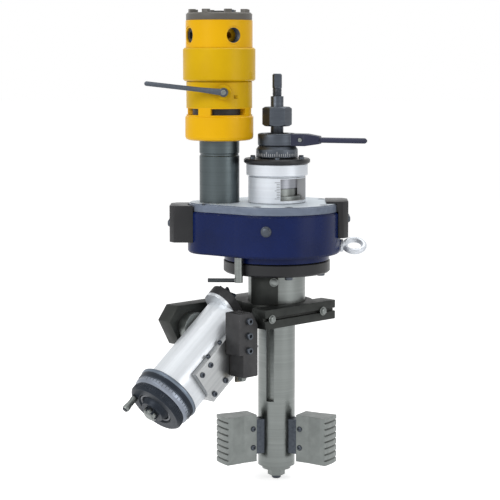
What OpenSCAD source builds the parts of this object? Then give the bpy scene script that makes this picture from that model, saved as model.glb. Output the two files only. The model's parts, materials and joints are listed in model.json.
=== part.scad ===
// Pipe beveling machine that clamps inside the pipe. Millimetres, +Z up.
// Origin at the centre of the clamp feet, X to the right and -Y towards the viewer.

/* [Clamp] */
// Pipe bore the feet are set to
pipe_bore = 160; // [150:1:170]
// Height of the pipe end above the clamp centre
face_height = 85; // [80:1:95]
// Mandrel diameter
mandrel_d = 47; // [45:0.5:48]
// Draw rod diameter
rod_d = 12; // [10:0.5:13]
// Width of a clamp leg
leg_w = 16; // [12:1:17]
// Height of a clamp leg
leg_h = 44; // [36:1:50]
// Height of a clamp foot
foot_h = 60; // [48:1:66]
// Width of the toothed pad on a foot
pad_w = 30; // [24:1:36]
// Across flats of the draw nut
nut_af = 32; // [28:1:34]

/* [Gear head] */
// Module of the head gears
gear_module = 3; // [3:0.05:3.1]
// Teeth on the pinion
pinion_teeth = 12; // [12:1:13]
// Teeth on the spindle gear
gear_teeth = 36; // [35:1:36]
// Face width of the gears
gear_face = 22; // [18:1:24]
// Height of the gear housing
housing_h = 53; // [52:1:60]
// Thickness of the top plate
plate_t = 10; // [8:0.5:14]

/* [Feed] */
// Height of the feed body
feed_h = 34; // [32:1:42]
// Radius of the feed body
feed_r = 36; // [34.5:0.5:39]
// Height of the graduated feed dial
dial_h = 14.5; // [12:0.5:18]
// Reach of the ratchet lever
lever_reach = 116; // [100:1:140]

/* [Motor] */
// Height of the motor column
column_h = 78; // [65:1:90]
// Radius of the motor column
column_r = 25; // [22:0.5:27]
// Height of the lower motor case
case_h = 30; // [26:1:40]
// Height of the throttle collar
collar_h = 32; // [28:1:40]
// Height of the motor barrel
barrel_h = 41; // [34:1:55]
// Height of the port head
port_h = 34; // [30:1:44]
// Reach of the throttle lever
throttle_reach = 97; // [80:1:110]

/* [Tool head] */
// Height of the yoke underside above the pipe end
yoke_drop = 63; // [60:1:68]
// Thickness of the yoke
yoke_h = 24; // [20:1:28]
// Height of the drive posts
post_h = 37; // [36:1:44]
// Faceplate radius
faceplate_r = 67; // [60:0.5:67]
// Bevel angle the slide is set to, in degrees
bevel_angle = 37.5; // [35:0.5:40]
// Length of the bevel slide
slide_len = 122; // [118:1:132]
// Radius of the handwheel
wheel_r = 36; // [32:1:40]

/* [Hidden] */
$fn = 64;
slide_gap = 0.3;
run_fit = 0.05;
eps = 1;

// Colours
steel_c = [0.62, 0.64, 0.65];
silver_c = [0.82, 0.84, 0.86];
black_c = [0.12, 0.12, 0.13];
dark_c = [0.24, 0.24, 0.25];
blue_c = [0.08, 0.15, 0.45];
navy_c = [0.10, 0.12, 0.22];
yellow_c = [0.95, 0.72, 0.05];
bronze_c = [0.70, 0.50, 0.22];
grey_c = [0.55, 0.57, 0.58];

// Heights, from the pipe end upwards
yoke_z = face_height + yoke_drop;
yoke_top = yoke_z + yoke_h;
faceplate_h = 15;
faceplate_z = yoke_top + post_h;
neck_z = faceplate_z + faceplate_h + 1;
neck_h = 8;
housing_z = neck_z + neck_h;
plate_z = housing_z + housing_h;
deck_z = plate_z + plate_t;
feed_ring_h = 15;
feed_top = deck_z + feed_h + feed_ring_h;
retainer_h = 6;
retainer_top = feed_top + retainer_h;
dial_z = retainer_top + 1;
ratchet_z = dial_z + dial_h + 0.5;
ratchet_h = 15;
mandrel_top = ratchet_z + ratchet_h - 2;
nut_neck = 11;
nut_h = 24;
nut_collar = 13;
rod_top = mandrel_top + nut_neck + nut_h + nut_collar + 28;

// Clamp
mandrel_r = mandrel_d / 2;
thread_r = 15;
bush_h = 9;
bush_r = mandrel_r + 6.5;
shoulder_z = feed_top - 28;
mandrel_z = -leg_h / 2 - 18;
expander_r = mandrel_r - 5.3;
expander_top = leg_h / 2 + 5;
expander_z = mandrel_z - 5;
ramp_slope = 0.18;
ramp_mid = 13.2;
leg_start = 90;
leg_x = 46;
key_turn = 249;
key_w = 10;
key_depth = 8;

// Gear head
housing_wall = 19.5;
housing_end_r = 40;
motor_x = gear_module * (pinion_teeth + gear_teeth) / 2;
gear_cavity_r = gear_module * (gear_teeth / 2 + 1) + 3.5;
pinion_cavity_r = gear_module * (pinion_teeth / 2 + 1) + 4;
housing_r = gear_cavity_r + housing_wall;
pressure_angle = 25;
backlash = 0.3;
floor_z = housing_z + 10;
nose_r = 36;
gear_seat_r = 34;
top_seat_r = 30;
spindle_bore_r = mandrel_r + 2;
bearing_h = 12;
low_bearing_r = 50;
low_bearing_h = 14;
top_bearing_r = 42;
gear_z = floor_z + 3;
hub_top = plate_z - bearing_h - 3;
shaft_r = 8;
guard_t = 28;
guard_half = 26;
guard_drop = 33;
eye_reach = 17.5;
eye_r = 12;
eye_wire_r = 3.6;
trip_r = 5;
finger_r = 2.5;
finger_reach = 38;

// Feed
window_turn = 277;
window_span = 84;
window_sill = 4;
feed_nut_r = 18;
nut_flange_r = 28;
nut_flange_h = 3.6;
dial_r = 26;
ratchet_head_r = 24;
ratchet_cavity_r = 21.5;
ratchet_teeth = 20;
lever_turn = -18;

// Motor
case_z = deck_z + column_h;
exhaust_z = case_z + case_h;
exhaust_h = 11;
collar_z = exhaust_z + exhaust_h;
barrel_z = collar_z + collar_h;
port_z = barrel_z + barrel_h;
cap_z = port_z + port_h;
cap_h = 9;
lug_h = 4;
case_r = 42.5;
collar_r = 41;
barrel_r = 45;
port_r = 41.5;
inlet_r = 9.3;
inlet_depth = 14;
inlet_turn = 298;
throttle_x = 7;
throttle_z = collar_z + 19;
throttle_y = 46;

// Tool head
head_turn = 225;
hub_r = 46;
left_arm_y = -70;
left_arm_t = 22;
left_arm_drop = 26;
left_arm_end = 138;
right_arm_y = 28;
right_arm_t = 24;
right_arm_end = 71;
slide_y = -16;
slide_r = 29;
slide_arch_z = 4;
slide_base = 26;
pivot_x = 104;
pivot_z = yoke_z - 5;
pivot_a = 32;
pivot_n = 14.6;
trunnion_r = 10;
star_case_t = 15;
star_case_r = 19;
star_teeth = 18;
star_module = 1.5;
star_n = star_module * star_teeth;
star_r = 14;
screw_r = 8;
screw_neck_r = 6;
carriage_x = 4;
carriage_len = 96;
carriage_top = 13;
nut_x = 50;
carriage_t = 8;
post_a = 40;
post_n = -12;
post_t = 25;
tool_len = 80;
tool_low = -30;
insert_h = 6.7;
flange_r = 40;
flange_t = 5;
flange_h = 12;
sleeve_r = 38.5;
ring_r = 38;
ring_t = 8;
wheel_x = slide_len + flange_h + 0.4 + ring_t;
grip_turn = 150;

// Places the parts are drawn in
module leg_frame(i) rotate([0, 0, leg_start + 120 * i]) children();
module motor_frame() translate([-motor_x, 0, 0]) children();
module head_frame() rotate([0, 0, head_turn]) children();
module slide_frame()
    head_frame()
        translate([pivot_x, slide_y, pivot_z])
            rotate([0, bevel_angle, 0])
                translate([-pivot_a, 0, -pivot_n])
                    children();

// Turns a lathe profile of the slide so that its axis lies along the slide
module along_slide() rotate([0, 90, 0]) children();

// A ring standing on z
module ring(r_out, r_in, z, h)
    translate([0, 0, z])
        linear_extrude(h)
            difference() {
                circle(r_out);
                circle(r_in);
            }

// Outline of the gear housing, drawn in by the given margin. The straight sides run
// a little inside the round ends, so that they cross them cleanly.
module teardrop(margin) {
    tilt = acos((housing_r - housing_end_r) / motor_x);
    big = housing_r - margin;
    small = housing_end_r - margin;
    inset = 0.6;
    run = 3.5;
    out = [-cos(tilt), sin(tilt)];
    along = [-sin(tilt), -cos(tilt)];
    start = (big - inset) * out - run * along;
    end = [-motor_x, 0] + (small - inset) * out + run * along;
    circle(big);
    translate([-motor_x, 0]) circle(small);
    polygon([start, end, [end[0], -end[1]], [start[0], -start[1]]]);
}

// Involute spur gear outline, tooth 0 centred on the angle given
function involute(a) = tan(a) - a * PI / 180;
function flank_angle(base, r) = involute(acos(min(1, base / r)));
function gear_points(teeth, m, turn) =
    let (
        pitch = m * teeth / 2,
        base = pitch * cos(pressure_angle),
        root = pitch - 1.2 * m,
        tip = pitch + 0.95 * m,
        half = 90 / teeth - (backlash / 2) / pitch * 180 / PI
            + involute(pressure_angle) * 180 / PI,
        start = max(base, root + 0.01),
        radii = [start, start + (tip - start) * 0.35, start + (tip - start) * 0.7, tip],
        spread = [for (r = radii) half - flank_angle(base, r) * 180 / PI]
    )
    [for (i = [0 : teeth - 1])
        let (mid = turn + i * 360 / teeth)
        each concat(
            [root * [cos(mid - half - 0.6), sin(mid - half - 0.6)]],
            [for (k = [0 : 3]) radii[k] * [cos(mid - spread[k]), sin(mid - spread[k])]],
            [for (k = [3 : -1 : 0]) radii[k] * [cos(mid + spread[k]), sin(mid + spread[k])]],
            [root * [cos(mid + half + 0.6), sin(mid + half + 0.6)]]
        )];

// Radius of the expander ramp at a height
function ramp(z) = ramp_mid - ramp_slope * z;

// Clamp that holds the machine inside the pipe
module mandrel()
    color(steel_c)
        difference() {
            union() {
                translate([0, 0, mandrel_z]) cylinder(r = mandrel_r, h = shoulder_z - mandrel_z);
                translate([0, 0, shoulder_z]) cylinder(r = thread_r, h = mandrel_top - shoulder_z);
            }
            translate([0, 0, mandrel_z - eps])
                cylinder(r = rod_d / 2 + slide_gap, h = mandrel_top - mandrel_z + 2 * eps);
            translate([0, 0, mandrel_z - eps])
                cylinder(r = expander_r + slide_gap, h = expander_top + 6 - mandrel_z + eps);
            rotate([0, 0, key_turn])
                translate([mandrel_r - key_depth, -key_w / 2, foot_h / 2 + 15])
                    cube([key_depth + eps, key_w, shoulder_z - foot_h / 2 - 15 + eps]);
            for (i = [0 : 2])
                leg_frame(i)
                    translate([0, -leg_w / 2 - slide_gap, -leg_h / 2 - slide_gap])
                        cube([mandrel_d, leg_w + 2 * slide_gap, leg_h + 2 * slide_gap]);
        }

module draw_rod()
    color(dark_c)
        difference() {
            rotate_extrude()
                polygon([
                    [0, expander_z - 14], [rod_d / 2 - 1.5, expander_z - 14],
                    [rod_d / 2, expander_z - 12.5], [rod_d / 2, rod_top - 1.5],
                    [rod_d / 2 - 1.5, rod_top], [0, rod_top]
                ]);
            for (side = [-1, 1])
                translate([-rod_d, side * rod_d - rod_d / 2 - side * 1.2, rod_top - 16])
                    cube([2 * rod_d, rod_d, 16 + eps]);
        }

module expander()
    color(steel_c)
        difference() {
            union() {
                translate([0, 0, expander_z]) cylinder(r = expander_r, h = expander_top - expander_z);
                translate([0, 0, expander_z - 9]) cylinder(r = 11, h = 9, $fn = 6);
            }
            translate([0, 0, expander_z - 20]) cylinder(r = rod_d / 2, h = 120);
            for (i = [0 : 2])
                leg_frame(i)
                    rotate([90, 0, 0])
                        translate([0, 0, -30])
                            linear_extrude(60)
                                polygon([
                                    [ramp(expander_z), expander_z], [60, expander_z],
                                    [60, expander_top + eps], [ramp(expander_top + eps), expander_top + eps]
                                ]);
        }

module draw_nut()
    color(dark_c)
        translate([0, 0, mandrel_top])
            difference() {
                union() {
                    cylinder(r = 8, h = nut_neck + 1);
                    translate([0, 0, nut_neck])
                        intersection() {
                            cylinder(d = nut_af / cos(30), h = nut_h, $fn = 6);
                            rotate_extrude()
                                polygon([
                                    [0, 0], [nut_af / 2 - 0.5, 0], [nut_af / 2 + 3, 2.5],
                                    [nut_af / 2 + 3, nut_h - 2.5], [nut_af / 2 - 0.5, nut_h], [0, nut_h]
                                ]);
                        }
                    translate([0, 0, nut_neck + nut_h - 1]) cylinder(r = 8, h = nut_collar + 1);
                }
                translate([0, 0, -eps])
                    cylinder(r = rod_d / 2 + run_fit, h = nut_neck + nut_h + nut_collar + 2 * eps);
            }

module clamp_leg(i)
    color(dark_c)
        leg_frame(i)
            rotate([90, 0, 0])
                translate([0, 0, -leg_w / 2])
                    linear_extrude(leg_w)
                        polygon([
                            [ramp(-leg_h / 2) + run_fit, -leg_h / 2], [leg_x, -leg_h / 2],
                            [leg_x, leg_h / 2], [ramp(leg_h / 2) + run_fit, leg_h / 2]
                        ]);

module clamp_foot(i)
    color(steel_c)
        leg_frame(i)
            difference() {
                intersection() {
                    translate([0, 0, -foot_h / 2])
                        linear_extrude(foot_h)
                            polygon([
                                [leg_x - 10, -leg_w / 2 - 5], [leg_x + 8, -leg_w / 2 - 5],
                                [pipe_bore / 2 - 9, -pad_w / 2], [pipe_bore / 2 + 5, -pad_w / 2],
                                [pipe_bore / 2 + 5, pad_w / 2], [pipe_bore / 2 - 9, pad_w / 2],
                                [leg_x + 8, leg_w / 2 + 5], [leg_x - 10, leg_w / 2 + 5]
                            ]);
                    translate([0, 0, -foot_h]) cylinder(r = pipe_bore / 2, h = 2 * foot_h);
                }
                // Seat that slips over the leg
                translate([leg_x - 10 - eps, -leg_w / 2, -leg_h / 2])
                    cube([10 + eps, leg_w, leg_h]);
                // Teeth of the pad
                for (z = [-foot_h / 2 + 6 : 8 : foot_h / 2 - 5])
                    rotate_extrude()
                        polygon([
                            [pipe_bore / 2 - 1.6, z], [pipe_bore / 2 + eps, z - 2],
                            [pipe_bore / 2 + eps, z + 2]
                        ]);
            }

module clamp_leg_1() clamp_leg(0);
module clamp_leg_2() clamp_leg(1);
module clamp_leg_3() clamp_leg(2);
module clamp_foot_1() clamp_foot(0);
module clamp_foot_2() clamp_foot(1);
module clamp_foot_3() clamp_foot(2);

// Axial feed on top of the gear head
module guide_bush()
    color(bronze_c) {
        ring(bush_r, mandrel_r + run_fit, deck_z, bush_h);
        // Key that stops the head from turning on the mandrel
        rotate([0, 0, key_turn])
            translate([mandrel_r - key_depth + slide_gap, -key_w / 2 + slide_gap, deck_z])
                cube([key_depth + 2, key_w - 2 * slide_gap, bush_h]);
    }

module feed_body()
    color(silver_c)
        difference() {
            rotate_extrude()
                polygon([
                    [bush_r, deck_z], [feed_r - 1, deck_z], [feed_r, deck_z + 1],
                    [feed_r, deck_z + feed_h - 2], [feed_r - 1.2, deck_z + feed_h - 1.2],
                    [feed_r - 1.2, deck_z + feed_h], [feed_r + 1.5, deck_z + feed_h],
                    [feed_r + 2.5, deck_z + feed_h + 1], [feed_r + 2.5, feed_top - 1],
                    [feed_r + 1.5, feed_top], [mandrel_r + 1.7, feed_top],
                    [mandrel_r + 1.7, deck_z + bush_h], [bush_r, deck_z + bush_h]
                ]);
            // Window that shows the feed depth
            translate([0, 0, deck_z + window_sill])
                rotate_extrude(angle = window_span, start = window_turn)
                    polygon([
                        [mandrel_r, 0], [feed_r + 1, 0], [feed_r + 1, feed_h - window_sill - 3],
                        [mandrel_r, feed_h - window_sill - 3]
                    ]);
        }

module retainer()
    color(black_c)
        rotate_extrude()
            polygon([
                [nut_flange_r + slide_gap, feed_top], [feed_r + 4, feed_top],
                [feed_r + 5.5, feed_top + 1.5], [feed_r + 5.5, retainer_top - 1.5],
                [feed_r + 4, retainer_top], [feed_nut_r + slide_gap, retainer_top],
                [feed_nut_r + slide_gap, feed_top + nut_flange_h + slide_gap],
                [nut_flange_r + slide_gap, feed_top + nut_flange_h + slide_gap]
            ]);

module feed_nut()
    color(bronze_c)
        rotate_extrude()
            polygon([
                [thread_r + run_fit, feed_top], [nut_flange_r, feed_top],
                [nut_flange_r, feed_top + nut_flange_h], [feed_nut_r, feed_top + nut_flange_h],
                [feed_nut_r, ratchet_z + ratchet_h], [thread_r + run_fit, ratchet_z + ratchet_h]
            ]);

module feed_dial()
    color(black_c)
        rotate_extrude()
            polygon([
                [feed_nut_r, dial_z], [dial_r - 1, dial_z], [dial_r, dial_z + 1],
                [dial_r, dial_z + dial_h - 4], [dial_r - 3, dial_z + dial_h], [feed_nut_r, dial_z + dial_h]
            ]);

module ratchet_wheel()
    color(steel_c)
        translate([0, 0, ratchet_z + 2])
            linear_extrude(ratchet_h - 4)
                difference() {
                    polygon([for (i = [0 : ratchet_teeth - 1])
                        each [
                            (ratchet_cavity_r - 2.4) * [cos(i * 18), sin(i * 18)],
                            (ratchet_cavity_r - 0.8) * [cos(i * 18 + 15), sin(i * 18 + 15)],
                            (ratchet_cavity_r - 2.4) * [cos(i * 18 + 16), sin(i * 18 + 16)]
                        ]]);
                    circle(feed_nut_r);
                }

module ratchet_lever()
    color(navy_c)
        rotate([0, 0, lever_turn])
            translate([0, 0, ratchet_z])
                difference() {
                    union() {
                        rotate_extrude()
                            polygon([
                                [feed_nut_r + slide_gap, 0], [ratchet_head_r - 1, 0], [ratchet_head_r, 1],
                                [ratchet_head_r, ratchet_h - 1], [ratchet_head_r - 1, ratchet_h],
                                [ratchet_cavity_r, ratchet_h], [ratchet_cavity_r, 1.7],
                                [feed_nut_r + slide_gap, 1.7]
                            ]);
                        // Root of the handle
                        intersection() {
                            linear_extrude(ratchet_h)
                                difference() {
                                    polygon([[15, -12], [38, -9], [56, -6], [56, 6], [38, 9], [15, 12]]);
                                    circle(ratchet_cavity_r);
                                }
                            translate([0, 20, 0])
                                rotate([90, 0, 0])
                                    linear_extrude(40)
                                        polygon([
                                            [0, -1], [32, -1], [58, ratchet_h / 2 - 4.5],
                                            [58, ratchet_h / 2 + 4.5], [32, ratchet_h + 1], [0, ratchet_h + 1]
                                        ]);
                        }
                        translate([50, 0, ratchet_h / 2])
                            rotate([0, 90, 0])
                                rotate_extrude()
                                    polygon([
                                        [0, 0], [3.4, 0], [3.4, lever_reach - 52.5],
                                        [1.4, lever_reach - 50], [0, lever_reach - 50]
                                    ]);
                    }
                    // Pocket of the pawl
                    translate([ratchet_cavity_r - 2, -4, 2]) cube([39.5 - ratchet_cavity_r, 8, ratchet_h - 4]);
                    translate([33, -20, ratchet_h / 2]) rotate([-90, 0, 0]) cylinder(r = 2.5, h = 40);
                }

module pawl()
    color(steel_c)
        rotate([0, 0, lever_turn])
            translate([0, 0, ratchet_z]) {
                difference() {
                    translate([0, 0, 2.4])
                        linear_extrude(ratchet_h - 4.8)
                            polygon([
                                [ratchet_cavity_r - 0.4, 1], [ratchet_cavity_r + 4, -3.7], [37, -3.7],
                                [37, 3.7], [ratchet_cavity_r + 1, 3.7]
                            ]);
                    translate([33, -20, ratchet_h / 2]) rotate([-90, 0, 0]) cylinder(r = 2.5, h = 40);
                }
                translate([33, -10.6, ratchet_h / 2]) rotate([-90, 0, 0]) cylinder(r = 2.5, h = 21.2);
            }

// Gear head
screw_spots = [for (a = [35, 78, 110, 250, 282, 325]) (housing_r - 10) * [cos(a), sin(a)]];
end_spots = [for (a = [120, 240]) [-motor_x, 0] + (housing_end_r - 8) * [cos(a), sin(a)]];
plate_spots = concat(screw_spots, end_spots);
trip_spot = (housing_r - 6) * [cos(231), sin(231)];

module gear_housing()
    color(blue_c)
        difference() {
            union() {
                translate([0, 0, housing_z]) linear_extrude(housing_h) teardrop(2.4);
                translate([0, 0, housing_z + 1]) linear_extrude(housing_h - 2) teardrop(0.9);
                translate([0, 0, housing_z + 2.5]) linear_extrude(housing_h - 5) teardrop(0);
                translate([0, 0, neck_z]) cylinder(r = housing_r - 14, h = neck_h + eps);
            }
            translate([0, 0, floor_z]) cylinder(r = gear_cavity_r, h = housing_h);
            motor_frame() translate([0, 0, floor_z]) cylinder(r = pinion_cavity_r, h = housing_h);
            translate([0, 0, floor_z - low_bearing_h]) cylinder(r = low_bearing_r, h = low_bearing_h + eps);
            translate([0, 0, neck_z - eps]) cylinder(r = nose_r + 2, h = 20);
            motor_frame() translate([0, 0, housing_z + 4]) cylinder(r = shaft_r + run_fit, h = 20);
            for (p = plate_spots) translate([p[0], p[1], plate_z - 12]) cylinder(r = 3, h = 20);
            translate([trip_spot[0], trip_spot[1], housing_z - eps]) cylinder(r = 3, h = 9);
            translate([housing_r - 14, 0, housing_z + 8]) rotate([0, 90, 0]) cylinder(r = 4, h = 30);
        }

module top_plate()
    color(silver_c)
        difference() {
            union() {
                translate([0, 0, plate_z]) linear_extrude(plate_t - 1.5) teardrop(2);
                translate([0, 0, plate_z + plate_t - 1.5]) linear_extrude(1.5) teardrop(3.2);
                translate([0, 0, plate_z - bearing_h]) cylinder(r = low_bearing_r, h = bearing_h + eps);
            }
            translate([0, 0, plate_z - bearing_h - eps]) cylinder(r = top_bearing_r, h = bearing_h + eps);
            translate([0, 0, plate_z - eps]) cylinder(r = spindle_bore_r, h = plate_t + 2 * eps);
            motor_frame() translate([0, 0, plate_z - eps]) cylinder(r = 16, h = plate_t + 2 * eps);
            for (p = plate_spots) {
                translate([p[0], p[1], plate_z - eps]) cylinder(r = 3, h = plate_t + 2 * eps);
                translate([p[0], p[1], deck_z - 5.4]) cylinder(r = 5.2, h = 10);
            }
        }

module plate_screws()
    color(dark_c)
        for (p = plate_spots)
            translate([p[0], p[1], deck_z - 5.4])
                difference() {
                    union() {
                        cylinder(r = 5, h = 5);
                        translate([0, 0, 5.4 - plate_t - 10]) cylinder(r = 3, h = plate_t + 5);
                    }
                    translate([0, 0, 2.2]) cylinder(r = 2.9, h = 5, $fn = 6);
                }

module end_guard_left()
    color(black_c)
        difference() {
            translate([-motor_x - housing_end_r - 22, 0, housing_z + 14])
                linear_extrude(housing_h - 7)
                    polygon([
                        [0, -16], [6, -24], [44, -24], [44, 24], [6, 24], [0, 16]
                    ]);
            motor_frame() translate([0, 0, housing_z]) cylinder(r = housing_end_r, h = housing_h * 2);
            translate([-motor_x, -50, housing_z]) cube([60, 100, housing_h * 2]);
        }

module end_guard_right()
    color(black_c)
        difference() {
            translate([housing_r + 9 - guard_t, 0, plate_z - guard_drop])
                linear_extrude(guard_drop + plate_t + 3)
                    polygon([
                        [0, -guard_half], [guard_t - 6, -guard_half], [guard_t, 8 - guard_half],
                        [guard_t, guard_half - 8], [guard_t - 6, guard_half], [0, guard_half]
                    ]);
            translate([0, 0, housing_z]) cylinder(r = housing_r, h = housing_h);
            translate([0, 0, plate_z - eps]) cylinder(r = housing_r - 2, h = plate_t + eps);
        }

module lifting_eye()
    color(steel_c)
        translate([housing_r, 0, housing_z + 8])
            difference() {
                union() {
                    translate([-13, 0, 0]) rotate([0, 90, 0]) cylinder(r = 4, h = 14);
                    rotate([0, 90, 0]) cylinder(r = 8, h = 3.2);
                    translate([2, 0, 0]) rotate([0, 90, 0]) cylinder(r1 = 7, r2 = 4, h = 6);
                    translate([eye_reach, 0, 0])
                        rotate([31, 0, 0])
                            rotate_extrude()
                                translate([eye_r, 0]) circle(eye_wire_r);
                }
                translate([eye_reach, 0, 0])
                    rotate([31, 0, 0])
                        cylinder(r = eye_r - eye_wire_r + 0.4, h = 2 * eye_r, center = true);
            }

module trip_post()
    color(grey_c)
        translate([trip_spot[0], trip_spot[1], faceplate_z]) {
            translate([0, 0, -trip_r - 2]) cylinder(r = trip_r, h = housing_z - faceplate_z + trip_r + 2);
            translate([0, 0, housing_z - faceplate_z - eps]) cylinder(r = 3, h = 8);
            // Finger that trips the feed star, shown drawn clear of it
            translate([-finger_reach, 0, finger_r - trip_r - 1.7])
                rotate([0, 90, 0])
                    cylinder(r = finger_r, h = finger_reach + 2);
        }

module lower_bearing()
    color(steel_c)
        ring(low_bearing_r, nose_r + run_fit, floor_z - low_bearing_h, low_bearing_h);

module upper_bearing()
    color(steel_c)
        ring(top_bearing_r, top_seat_r + run_fit, plate_z - bearing_h, bearing_h);

module drive_bearing()
    color(steel_c)
        motor_frame()
            ring(16, shaft_r + run_fit, plate_z, plate_t);

// Air motor
module motor_column()
    color(dark_c)
        motor_frame()
            rotate_extrude()
                polygon([
                    [13, deck_z], [column_r, deck_z], [column_r, deck_z + column_h - 20],
                    [column_r - 1, deck_z + column_h - 19], [column_r - 1, deck_z + column_h - 17],
                    [column_r, deck_z + column_h - 16], [column_r, case_z], [13, case_z]
                ]);

module gear_case()
    color(yellow_c)
        motor_frame()
            rotate_extrude()
                polygon([
                    [13, case_z], [case_r - 4, case_z], [case_r - 1, case_z + 1.5], [case_r, case_z + 4],
                    [case_r, exhaust_z - 1.5], [case_r - 1.5, exhaust_z], [29, exhaust_z],
                    [29, exhaust_z - 4], [case_r - 6, exhaust_z - 4], [case_r - 6, case_z + 6],
                    [13, case_z + 6]
                ]);

module exhaust_ring()
    color(yellow_c)
        motor_frame()
            difference() {
                ring(collar_r, collar_r - 8, exhaust_z, exhaust_h);
                for (a = [245 : 90 : 515])
                    translate([0, 0, exhaust_z + 1.5])
                        linear_extrude(exhaust_h - 3)
                            polygon([
                                [0, 0], 60 * [cos(a + 12), sin(a + 12)], 70 * [cos(a + 45), sin(a + 45)],
                                60 * [cos(a + 78), sin(a + 78)]
                            ]);
            }

module silencer()
    color(black_c)
        motor_frame()
            ring(collar_r - 8, shaft_r + 2, exhaust_z, exhaust_h);

module throttle_collar()
    color(yellow_c)
        motor_frame()
            difference() {
                union() {
                    rotate_extrude()
                        polygon([
                            [shaft_r + 2, collar_z], [collar_r, collar_z], [collar_r, barrel_z - 1],
                            [collar_r - 1, barrel_z], [shaft_r + 2, barrel_z]
                        ]);
                    translate([throttle_x, 0, throttle_z])
                        rotate([90, 0, 0])
                            cylinder(r = 9, h = throttle_y);
                }
                translate([0, 0, collar_z - eps]) cylinder(r = shaft_r + 2, h = collar_h + 2 * eps);
                translate([throttle_x, 0, throttle_z])
                    rotate([90, 0, 0])
                        translate([0, 0, throttle_y - 16])
                            cylinder(r = 4 + run_fit, h = 20);
                // Slot of the stop screw
                translate([throttle_x + 12, -collar_r, throttle_z - 8]) cube([7, 8, 4]);
            }

module motor_barrel()
    color(yellow_c)
        motor_frame()
            rotate_extrude()
                polygon([
                    [35, barrel_z], [barrel_r - 2, barrel_z], [barrel_r, barrel_z + 2],
                    [barrel_r, port_z - 2], [barrel_r - 2, port_z], [35, port_z]
                ]);

module port_head()
    color(yellow_c)
        motor_frame()
            difference() {
                rotate_extrude()
                    polygon([
                        [0, port_z + 6], [12, port_z + 6], [12, port_z], [port_r, port_z],
                        [port_r, cap_z - 1], [port_r - 1, cap_z], [0, cap_z]
                    ]);
                for (i = [0 : 3])
                    rotate([0, 0, inlet_turn + 90 * i])
                        translate([0, 0, port_z + port_h / 2 - 2])
                            rotate([0, 90, 0]) {
                                translate([0, 0, port_r - 1 - inlet_depth]) cylinder(r = inlet_r, h = 40);
                                translate([0, 0, port_r - 1]) cylinder(r = inlet_r + 2, h = 10);
                                cylinder(r = 4, h = port_r);
                            }
                translate([0, 0, port_z - eps]) cylinder(r = 7, h = port_h / 2);
            }

module port_plugs()
    color(black_c)
        motor_frame()
            for (i = [1 : 3])
                rotate([0, 0, inlet_turn + 90 * i])
                    translate([0, 0, port_z + port_h / 2 - 2])
                        rotate([0, 90, 0])
                            translate([0, 0, port_r - inlet_depth])
                                difference() {
                                    cylinder(r = inlet_r, h = inlet_depth - 3);
                                    translate([0, 0, inlet_depth - 9]) cylinder(r = 5, h = 20, $fn = 6);
                                }

module motor_cap()
    color(black_c)
        motor_frame() {
            rotate_extrude()
                polygon([
                    [0, cap_z], [port_r - 0.5, cap_z], [port_r - 0.5, cap_z + cap_h - 2],
                    [port_r - 2.5, cap_z + cap_h], [0, cap_z + cap_h]
                ]);
            for (i = [0 : 7])
                rotate([0, 0, inlet_turn - 8 + 45 * i])
                    translate([port_r - 10, -4, cap_z + cap_h - eps])
                        cube([7, 8, lug_h + eps]);
        }

module throttle_lever()
    color(steel_c)
        motor_frame()
            translate([throttle_x, -throttle_y, throttle_z])
                rotate([90, 0, 0]) {
                    translate([0, 0, -15]) cylinder(r = 4, h = 22);
                    translate([0, 0, slide_gap]) cylinder(r = 5.5, h = 6);
                    translate([0, 0, 6]) cylinder(r = 4.6, h = 2);
                    translate([0, 0, slide_gap + 0.5])
                        linear_extrude(5)
                            rotate(173.5)
                                union() {
                                    polygon([[0, -4], [30, -2.8], [throttle_reach - 3, -2.8],
                                        [throttle_reach - 3, 2.8], [30, 2.8], [0, 4]]);
                                    translate([throttle_reach - 3, 0]) circle(2.8);
                                }
                }

module rotor()
    color(steel_c)
        motor_frame()
            translate([0, 0, barrel_z + 2])
                linear_extrude(barrel_h - 4)
                    difference() {
                        union() {
                            circle(25);
                            for (i = [0 : 5]) rotate(i * 60) translate([0, -1.5]) square([33.5, 3]);
                        }
                        circle(shaft_r);
                    }

module drive_shaft()
    color(steel_c)
        motor_frame()
            translate([0, 0, housing_z + 5]) cylinder(r = shaft_r, h = port_z - housing_z - 1);

module drive_pinion()
    color(steel_c)
        motor_frame()
            translate([0, 0, gear_z])
                linear_extrude(gear_face)
                    difference() {
                        polygon(gear_points(pinion_teeth, gear_module, 0));
                        circle(shaft_r);
                    }

// Turning head
module spindle()
    color(silver_c)
        rotate_extrude()
            polygon([
                [spindle_bore_r, yoke_z - 2], [nose_r - 1, yoke_z - 2], [nose_r, yoke_z - 1],
                [nose_r, floor_z + 0.5], [gear_seat_r, floor_z + 0.5], [gear_seat_r, hub_top],
                [top_seat_r, hub_top], [top_seat_r, plate_z - 0.5], [spindle_bore_r, plate_z - 0.5]
            ]);

module spindle_gear()
    color(steel_c) {
        // A tooth gap of this gear faces tooth 0 of the pinion
        translate([0, 0, gear_z])
            linear_extrude(gear_face)
                difference() {
                    polygon(gear_points(gear_teeth, gear_module, 180 + 180 / gear_teeth));
                    circle(gear_seat_r);
                }
        ring(gear_seat_r + 6, gear_seat_r, floor_z + 0.5, hub_top - floor_z - 0.5);
    }

module faceplate()
    color(black_c)
        rotate_extrude()
            polygon([
                [nose_r, faceplate_z], [faceplate_r - 2, faceplate_z], [faceplate_r, faceplate_z + 2],
                [faceplate_r, faceplate_z + faceplate_h - 1], [faceplate_r - 1, faceplate_z + faceplate_h],
                [nose_r, faceplate_z + faceplate_h]
            ]);

module drive_posts()
    color(black_c)
        head_frame()
            for (a = [3, 183])
                translate([0, 0, yoke_top])
                    rotate_extrude(angle = 44, start = a)
                        polygon([
                            [nose_r, 0], [hub_r + 2, 0], [hub_r + 2, post_h], [nose_r, post_h]
                        ]);

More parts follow.
